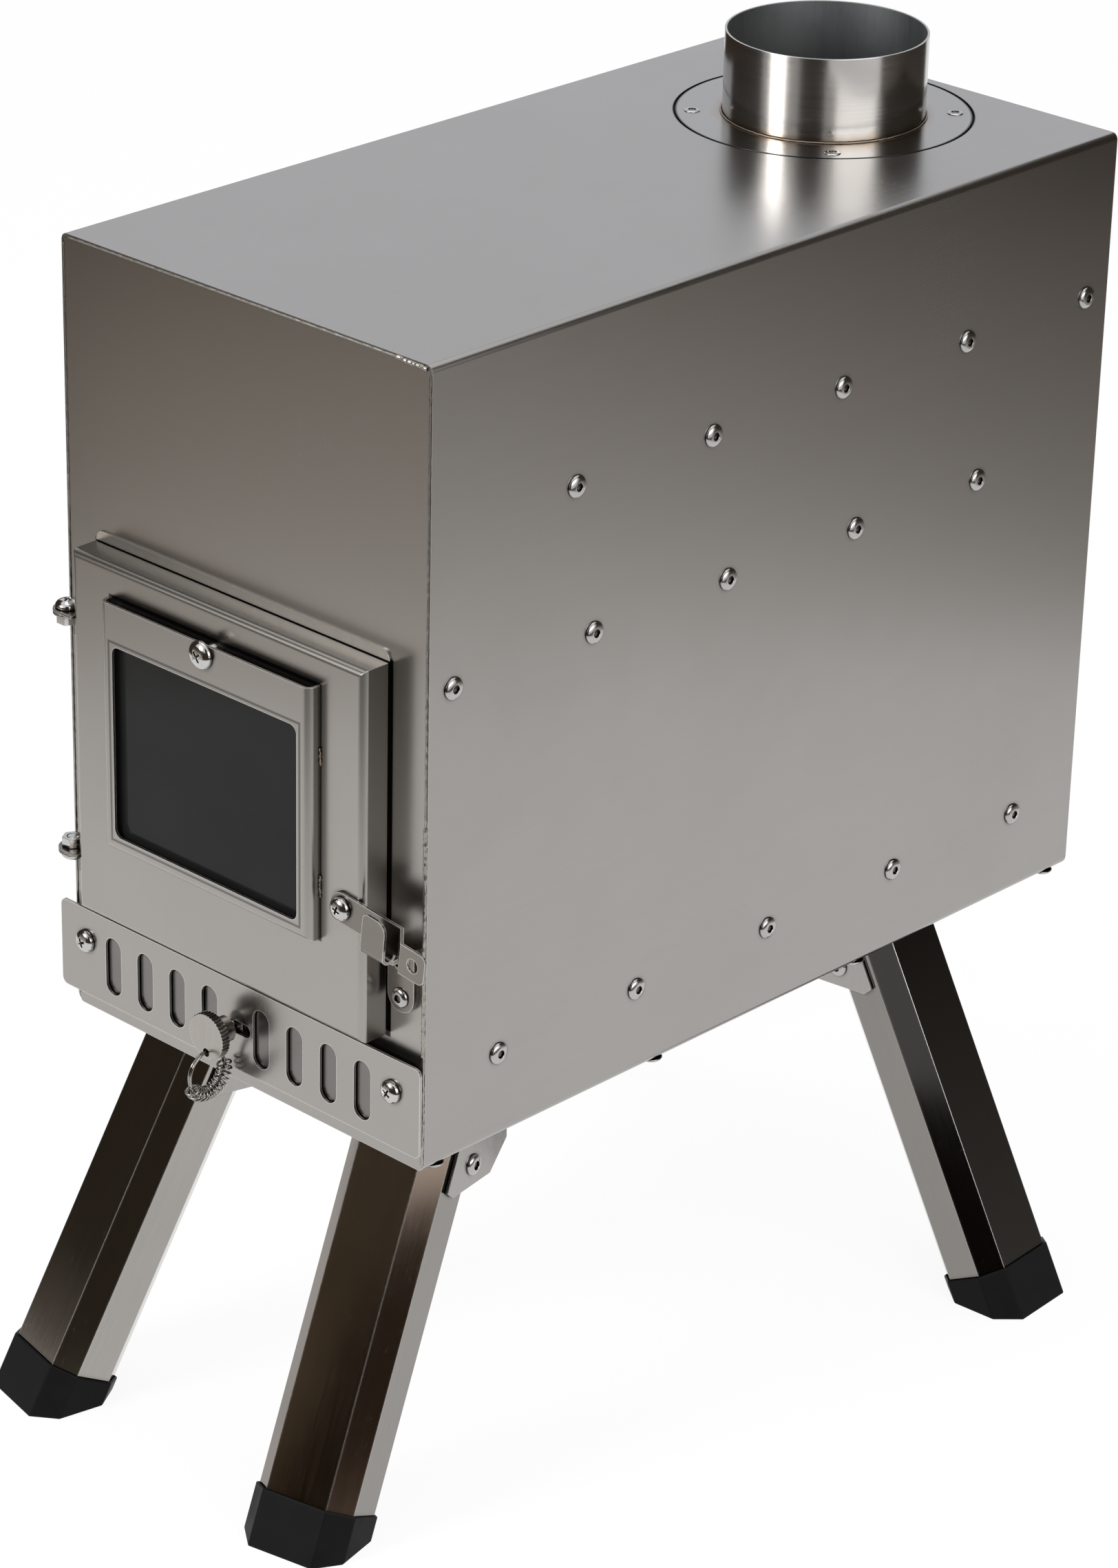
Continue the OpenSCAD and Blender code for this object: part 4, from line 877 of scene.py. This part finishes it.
# a leg's painted faces are given by their direction, how near a face comes to it, and their tones of painted
# light:
# lighter faces and a painted highlight line; an edge by its width, its segments and the angle from which it is
# softened
legSet = {
    "tilt": 27.0,
    "turns": {"front_right": 192.0, "front_left": 168.0, "rear_right": -86.0, "rear_left": 94.0},
    # each leg's steel is painted its own lighter, darker or browner shade, standing in for the reflections it
    # shows
    "tones": {"front_right": paintedLegLight(0.6375, 0.493, 0.357), "front_left": paintedLegLight(2.1, 2.1, 2.1),
              "rear_right": paintedLegLight(0.3, 0.3, 0.3), "rear_left": paintedLegLight(1, 1, 1)},
    "faces": {
        "front_right": [((1, 0, 0), 0.85, paintedLegLight(1.6, 1.6, 1.6)),
                        ((0.822, -0.469, 0.321), 0.97, paintedLegLight(1.9, 1.55, 1.35))],
        "rear_right": [((0, -1, 0), 0.85, paintedLegLight(1.45, 1.45, 1.45)),
                       # a painted highlight line along the rear right leg's edge
                       ((0.823, -0.383, 0.417), 0.97, {"color": (0.85, 0.84, 0.82), "highColor": (0.9, 0.89, 0.87),
                                                       "cloudColor": (0.8, 0.79, 0.77), "metal": 0.35})],
    },
    "pivots": {"front_right": (61.3, -160.3), "front_left": (-61.3, -160.3),
               "rear_right": (70.5, 108.2), "rear_left": (-70.5, 160.2)},
    "pivotZ": -20.2,
    "pivotHalf": 24.8,
    "legEdge": (0.9 * mm, 3, 35),
    "footEdge": (1.1 * mm, 3, 35),
    "bracketEdge": (0.35 * mm, 2, 30),
}
for leg, turn in legSet["turns"].items():
    grainTurn = (Matrix.Rotation(math.radians(-legSet["tilt"]), 3, "X")
                 @ Matrix.Rotation(math.radians(-turn), 3, "Z")).to_euler("XYZ")
    look = {**legLook, "turn": tuple(grainTurn)}
    end, side = leg.split("_")
    camel = end + side.capitalize()
    steel = brushedMetal(camel + "PaintedLightLegSteel", {**look, **legSet["tones"][leg]})
    tube = softCopy(leg + "_leg", camel + "Leg", steel, *legSet["legEdge"])
    for i, (direction, nearness, tones) in enumerate(legSet["faces"].get(leg, [])):
        paintFaces(tube, brushedMetal(f"{camel}PaintedLightFaceSteel{i}", {**look, **tones}),
                   lambda face: face.normal.dot(Vector(direction)) > nearness)
    softCopy(leg + "_foot", camel + "Foot", footPlastic, *legSet["footEdge"])
    softCopy(leg + "_bracket", camel + "Bracket", steels["bracket"], *legSet["bracketEdge"])
print("legs made")

# blind rivets in millimetres: a size is the head's radius, its height and its hollow's radius, then the
# shank's radius, the grip, and whether a tail shows; the tail's points are shares of the shank's radius and
# heights under the sheets, the hollow's points are shares of its radius and of the head's height
rivetSet = {
    "sizes": {"body": ((4.7, 1.8, 1.7), 2.4, 2.4, True), "flange": ((3.4, 0.6, 1.7), 1.7, 2.4, True),
              "keeper": ((4.2, 1.8, 1.7), 2.4, 4.2, True),
              "leg": ((4.6, 2.0, 1.9), 3.0, legSet["pivotHalf"], False)},
    "tail": [(0.8, -2.2), (1.2, -1.5), (1.3, -0.4), (1.05, 0.0)],
    "hollow": [(1.08, 1.0), (1.0, 0.93), (0.97, 0.4), (0.62, 0.36), (0.58, 0.6), (0.3, 0.66)],
    "brimR": 0.96, "brimH": 0.12, "domeSteps": 8, "domeInner": 1.1, "sides": 28,
    "hollowMark": (1.02, 0.2, 0.95),
    "smoothAngle": 40,
    "baffleRow": (11.4, 319.4, 5), "baffleRows": [(1, -198.6, 204.8), (-1, 197.4, 268.7)],
    "lowRow": (-159.2, 159.2, 5), "lowRowZ": 38.6, "backRow": (26.4, 282.4, 5), "backInset": 5.5,
    "bottomRow": (-190, 190, 4), "bottomInset": 5.4, "flangeRowR": 55.0,
    "keeperX": 91.6, "keeperY": -203.0, "keeperZ": (75.0, 90.5),
}


# Marks the points of a master's recess, which its material then darkens with a painted shade
def markHollow(master, radius, low, high):
    mark = master.data.attributes.new("hollow", "FLOAT", "POINT")
    for vertex, value in zip(master.data.vertices, mark.data):
        inside = math.hypot(vertex.co.x, vertex.co.y) < radius * mm and low * mm < vertex.co.z < high * mm
        value.value = 1.0 if inside else 0.0


# Rivet head with a rolled rim, a hollow and the broken pin's stub in it
def rivetProfile(headR, headH, hollowR, shankR, grip, tail):
    points = [(share * shankR, rise - grip) for share, rise in rivetSet["tail"]] if tail else []
    points += [(shankR, -grip), (shankR, 0.0), (rivetSet["brimR"] * headR, 0.0)]
    brim, inner = rivetSet["brimH"], rivetSet["domeInner"] * hollowR
    for step in range(rivetSet["domeSteps"]):
        a = math.radians(90 * step / rivetSet["domeSteps"])
        points.append((inner + (headR - inner) * math.cos(a), headH * (brim + (1 - brim) * math.sin(a))))
    return points + [(share * hollowR, rise * headH) for share, rise in rivetSet["hollow"]]


def makeRivets(pieceName, nodeName, size, places):
    head, shankR, grip, tail = rivetSet["sizes"][size]
    master = turned("rivetMaster", rivetProfile(*head, shankR, grip, tail), rivetSet["sides"])
    smooth(master, rivetSet["smoothAngle"])
    radius, low, high = rivetSet["hollowMark"]
    markHollow(master, radius * head[2], low, high * head[1])
    finish(copiesOf(master, pieceName, places), "stove", "bright_steel", steels["rivet"], nodeName)
    discard(master)


sideRows = [(start + way * y, z) for way, start, z in rivetSet["baffleRows"]
            for y in evenly(*rivetSet["baffleRow"])]
sideRows += [(y, rivetSet["lowRowZ"]) for y in evenly(*rivetSet["lowRow"])]
sidePlaces = [facing(bodyPlace(side * halfW, y, z), (side, 0, 0), 37 * i)
              for side in (-1, 1) for i, (y, z) in enumerate(sideRows)]
backPlaces = [facing(bodyPlace(side * (halfW - rivetSet["backInset"]), halfD, z), (0, 1, 0))
              for side in (-1, 1) for z in evenly(*rivetSet["backRow"])]
bottomPlaces = [facing(bodyPlace(side * (halfW - rivetSet["bottomInset"]), y, 0), (0, 0, -1))
                for side in (-1, 1) for y in evenly(*rivetSet["bottomRow"])]
flangePlaces = [facing(bodyPlace(rivetSet["flangeRowR"] * math.cos(a),
                                 flueY + rivetSet["flangeRowR"] * math.sin(a), bodyH), (0, 0, 1), 20)
                for a in [math.radians(45 + 90 * i) for i in range(4)]]
keeperPlaces = [facing(bodyPlace(rivetSet["keeperX"], rivetSet["keeperY"], z), (0, -1, 0), 50)
                for z in rivetSet["keeperZ"]]
pivotPlaces = []
for leg, (x, y) in legSet["pivots"].items():
    a = math.radians(legSet["turns"][leg])
    along = Vector((math.cos(a), math.sin(a), 0))
    for side in (-1, 1):
        end = bodyPlace(x, y, legSet["pivotZ"]) + along * side * legSet["pivotHalf"] * mm
        pivotPlaces.append(facing(end, along * side))
makeRivets("sideRivets", "side_rivets", "body", sidePlaces)
makeRivets("backRivets", "back_rivets", "body", backPlaces)
makeRivets("bottomRivets", "bottom_rivets", "body", bottomPlaces)
makeRivets("flangeRivets", "flange_rivets", "flange", flangePlaces)
makeRivets("keeperRivets", "keeper_rivets", "keeper", keeperPlaces)
makeRivets("legRivets", "leg_rivets", "leg", pivotPlaces)
print("rivets made")

# pan-head screws with a cross recess, in millimetres
screwSet = {
    "headH": 3.4, "brimH": 0.3, "domeSteps": 10, "domeInner": 0.12, "domeLow": 0.22, "sides": 40,
    "threadPitch": 0.8, "threadDepth": 0.86, "threadFrom": 0.5, "threadTo": -0.9, "tipR": 0.7, "neckR": 0.9,
    "recessW": 1.1, "recessD": 2.0, "recessOver": 1.0, "recessFloor": 0.5, "edge": 0.1, "edgeAngle": 50,
    "smoothAngle": 40,
    "hollowMark": (0.49, 0.35, 0.8),
}


def screwProfile(headR, shankR, length):
    headH, inner, low = screwSet["headH"], screwSet["domeInner"], screwSet["domeLow"]
    points = [(screwSet["tipR"] * shankR, -length)]
    thread = -length + screwSet["threadFrom"]
    while thread < screwSet["threadTo"]:
        points += [(shankR, thread), (screwSet["threadDepth"] * shankR, thread + screwSet["threadPitch"] / 2)]
        thread += screwSet["threadPitch"]
    points += [(screwSet["neckR"] * shankR, -0.05), (0.95 * headR, 0.0), (headR, screwSet["brimH"])]
    for step in range(screwSet["domeSteps"]):
        a = math.radians(90 * step / screwSet["domeSteps"])
        points.append((headR * (inner + (1 - inner) * math.cos(a)), headH * (low + (1 - low) * math.sin(a))))
    return points + [(0.08 * headR, headH)]


# A bar across the head, narrower at its lower end, that is cut out of it
def recessCutter(headR, turn):
    depth, over, headH = screwSet["recessD"], screwSet["recessOver"], screwSet["headH"]
    floorShare = screwSet["recessFloor"]
    clearSelection()
    bpy.ops.mesh.primitive_cube_add(size=1, location=(0, 0, (headH - depth / 2 + over / 2) * mm),
                                    rotation=(0, 0, math.radians(turn)),
                                    scale=(headR * mm, screwSet["recessW"] * mm, (depth + over) * mm))
    cutter = bpy.context.object
    bpy.ops.object.transform_apply()
    markInEdit(cutter, cutter.data.polygons, "FACE", lambda face: face.normal.z < -0.9)
    bpy.ops.transform.resize(value=(floorShare, floorShare, 1.0), center_override=(0, 0, (headH - depth) * mm))
    bpy.ops.object.mode_set(mode="OBJECT")
    return cutter


def screwMaster(headR, shankR, length):
    master = turned("screwMaster", screwProfile(headR, shankR, length), screwSet["sides"])
    for turn in (0, 90):
        cutter = recessCutter(headR, turn)
        cross = master.modifiers.new("cross", "BOOLEAN")
        cross.operation = "DIFFERENCE"
        cross.object = cutter
        applyAll(master)
        discard(cutter)
    bevelEdges(master, screwSet["edge"] * mm, 1, screwSet["edgeAngle"])
    smooth(master, screwSet["smoothAngle"])
    radius, low, high = screwSet["hollowMark"]
    markHollow(master, radius * headR, low * screwSet["headH"], high * screwSet["headH"])
    return master


# a screw set: piece, node, body, the head's and the shank's radius, the length, and where each stands
screwPlaces = [
    ("ventScrews", "vent_screws", "stove", (5.0, 2.5, 12.2),
     [((-90, -205.8, 34.1), (0, -1, 0), 20), ((90, -205.8, 34.1), (0, -1, 0), 62)]),
    ("hingeScrews", "hinge_screws", "stove", (5.0, 2.5, 6.9),
     [((-93.4, -209.0, 183.95), (0, 0, 1), 15), ((-93.4, -209.0, 75.4), (0, 0, -1), 40)]),
    ("latchScrew", "latch_screw", "door", (5.0, 2.5, 7.9), [((71.9, -215.95, 111), (0, -1, 0), 70)]),
    ("windowScrew", "window_screw", "door", (6.0, 3.0, 12.4), [((-1.4, -220.4, 195.6), (0, -1, 0), 35)]),
]
for pieceName, nodeName, body, sizes, places in screwPlaces:
    master = screwMaster(*sizes)
    screws = copiesOf(master, pieceName, [facing(bodyPlace(*place), axis, turn) for place, axis, turn in places])
    finish(screws, body, "bright_steel", steels["bright"], nodeName)
    discard(master)
print("screws made")

# knob, split ring and coil spring, in millimetres and degrees
handleSet = {
    "knobX": -1.3, "knobZ": 28.4, "knobEdge": 0.22, "studEdge": 0.25, "valleyR": (9.0, 9.72), "faceDepth": 0.15,
    "hubFrom": 5.5, "hubLonger": 4.8,
    "ringCentre": (-1.3, -220.0, 12.2), "ringR": 9.5, "strandR": 0.5, "strandTurns": 1.94,
    "strandFrom": 100.0, "strandSteps": 150, "crossFrom": 0.44, "crossShare": 0.1,
    "springR": 2.85, "springWire": 0.5, "springTurns": 12, "springFrom": 210.0, "springSweep": 155.0,
    "stepsPerTurn": 30, "endSteps": 8, "endDrop": 1.35, "endTurn": 2.4,
}
knob = softCopy("knob", "knob", steels["knob"], handleSet["knobEdge"] * mm, 2, 20)
knobFace = min(vertex.co.y for vertex in knob.data.vertices)
# the hub reaches almost to the vent plate
moveVertices(knob, (0, handleSet["hubLonger"] * mm, 0),
             lambda vertex: vertex.co.y > knobFace + handleSet["hubFrom"] * mm)
# the knurl's valleys get a painted shade
grooves = knob.data.attributes.new("hollow", "FLOAT", "POINT")
knobAxis = bodyPlace(handleSet["knobX"], 0, handleSet["knobZ"])
valleyLow, valleyHigh = handleSet["valleyR"]
for vertex, value in zip(knob.data.vertices, grooves.data):
    away = math.hypot(vertex.co.x - knobAxis.x, vertex.co.z - knobAxis.z) / mm
    onEdge = vertex.co.y > knobFace + handleSet["faceDepth"] * mm
    value.value = 1.0 if onEdge and valleyLow < away < valleyHigh else 0.0
softCopy("slider_stud", "sliderStud", steels["bright"], handleSet["studEdge"] * mm)


def ringPoint(angle, out, side):
    a = math.radians(angle)
    r = handleSet["ringR"] + out
    return bodyPlace(*handleSet["ringCentre"]) + Vector((side, r * math.cos(a), r * math.sin(a))) * mm


# the ring's wire goes round nearly twice and crosses over to its second turn halfway
ringPoints = []
for i in range(handleSet["strandSteps"] + 1):
    share = i / handleSet["strandSteps"]
    crossed = min(1.0, max(0.0, (share - handleSet["crossFrom"]) / handleSet["crossShare"]))
    angle = handleSet["strandFrom"] + 360 * handleSet["strandTurns"] * share
    ringPoints.append(ringPoint(angle, 0.0, crossed - handleSet["strandR"]))
splitRing = wire("splitRing", ringPoints, handleSet["strandR"] * mm, 12)
finish(splitRing, "handle", "bright_steel", steels["wire"], "handle_ring")

# the spring's coils end in a short turn laid on the ring
springPoints = []
count, ends = handleSet["springTurns"] * handleSet["stepsPerTurn"], handleSet["endSteps"]
for i in range(-ends, count + ends + 1):
    coil = min(max(i, 0), count)
    beyond = max(0, -i, i - count) / ends
    angle = handleSet["springFrom"] + handleSet["springSweep"] * coil / count
    angle += (1 if i > count else -1) * handleSet["endTurn"] * beyond
    turn = math.radians(360 * i / handleSet["stepsPerTurn"])
    r = handleSet["springR"] - handleSet["endDrop"] * beyond * beyond
    springPoints.append(ringPoint(angle, r * math.cos(turn), r * math.sin(turn)))
coilSpring = wire("coilSpring", springPoints, handleSet["springWire"] * mm, 10)
finish(coilSpring, "handle", "bright_steel", steels["wire"], "handle_spring")
print("handle made")

# weld beads in millimetres: a seam runs between two places (x, z) on the front and has points and a radius
weldSet = {
    "sides": 10, "lumpSize": 1.6, "lumpHeight": 4.0, "seamLumps": 0.25,
    "frontY": -halfD - 0.05,
    "seams": {
        "rightSeamWeld": ((halfW - 1.0, 50), (halfW - 1.0, 333), 240, 0.5),
        "rightLowWeld": ((halfW - 1.0, 3), (halfW - 1.0, 150), 160, 0.85),
        "leftSeamWeld": ((1.0 - halfW, 4), (1.0 - halfW, 333), 240, 0.5),
        "topSeamWeld": ((-98, 335.9), (98, 335.9), 200, 0.45),
        "topCornerWeld": ((84, 335.8), (100, 335.2), 40, 0.8),
    },
    "collarR": 43.0, "collarZ": 337.2, "collarPoints": 220, "collarBead": 0.42, "collarLumps": 0.3,
    "frameX": 58.6, "frameY": -214.6, "frameSpans": [(167, 174), (111, 120)], "framePoints": 30,
    "frameBead": 0.6, "frameLumps": 0.5,
}


# A weld bead: a low wire along points, rippled by a noise texture
def weldBead(name, points, radius, lumpShare, body, steel, cyclic=False):
    bead = wire(name, points, radius * mm, weldSet["sides"], cyclic)
    texture = bpy.data.textures.new(name, "CLOUDS")
    texture.noise_scale = weldSet["lumpSize"] * mm
    lumps = bead.modifiers.new("ripple", "DISPLACE")
    lumps.texture = texture
    lumps.strength = lumpShare * radius * weldSet["lumpHeight"] * mm
    lumps.mid_level = 0.5
    applyAll(bead)
    finish(bead, body, "bracket_steel", steel)


def lineOf(start, end, count):
    return [start.lerp(end, i / (count - 1)) for i in range(count)]


for name, ((startX, startZ), (endX, endZ), count, radius) in weldSet["seams"].items():
    start, end = bodyPlace(startX, weldSet["frontY"], startZ), bodyPlace(endX, weldSet["frontY"], endZ)
    weldBead(name, lineOf(start, end, count), radius, weldSet["seamLumps"], "stove", steels["weld"])
collarTurns = [2 * math.pi * i / weldSet["collarPoints"] for i in range(weldSet["collarPoints"])]
collarCircle = [bodyPlace(weldSet["collarR"] * math.cos(a), flueY + weldSet["collarR"] * math.sin(a),
                          weldSet["collarZ"]) for a in collarTurns]
weldBead("collarWeld", collarCircle, weldSet["collarBead"], weldSet["collarLumps"], "stove",
         steels["burntWeld"], True)
for i, span in enumerate(weldSet["frameSpans"]):
    start, end = [bodyPlace(weldSet["frameX"], weldSet["frameY"], z) for z in span]
    weldBead(f"frameWeld{i}", lineOf(start, end, weldSet["framePoints"]), weldSet["frameBead"],
             weldSet["frameLumps"], "door", steels["burntWeld"])
print("welds made")
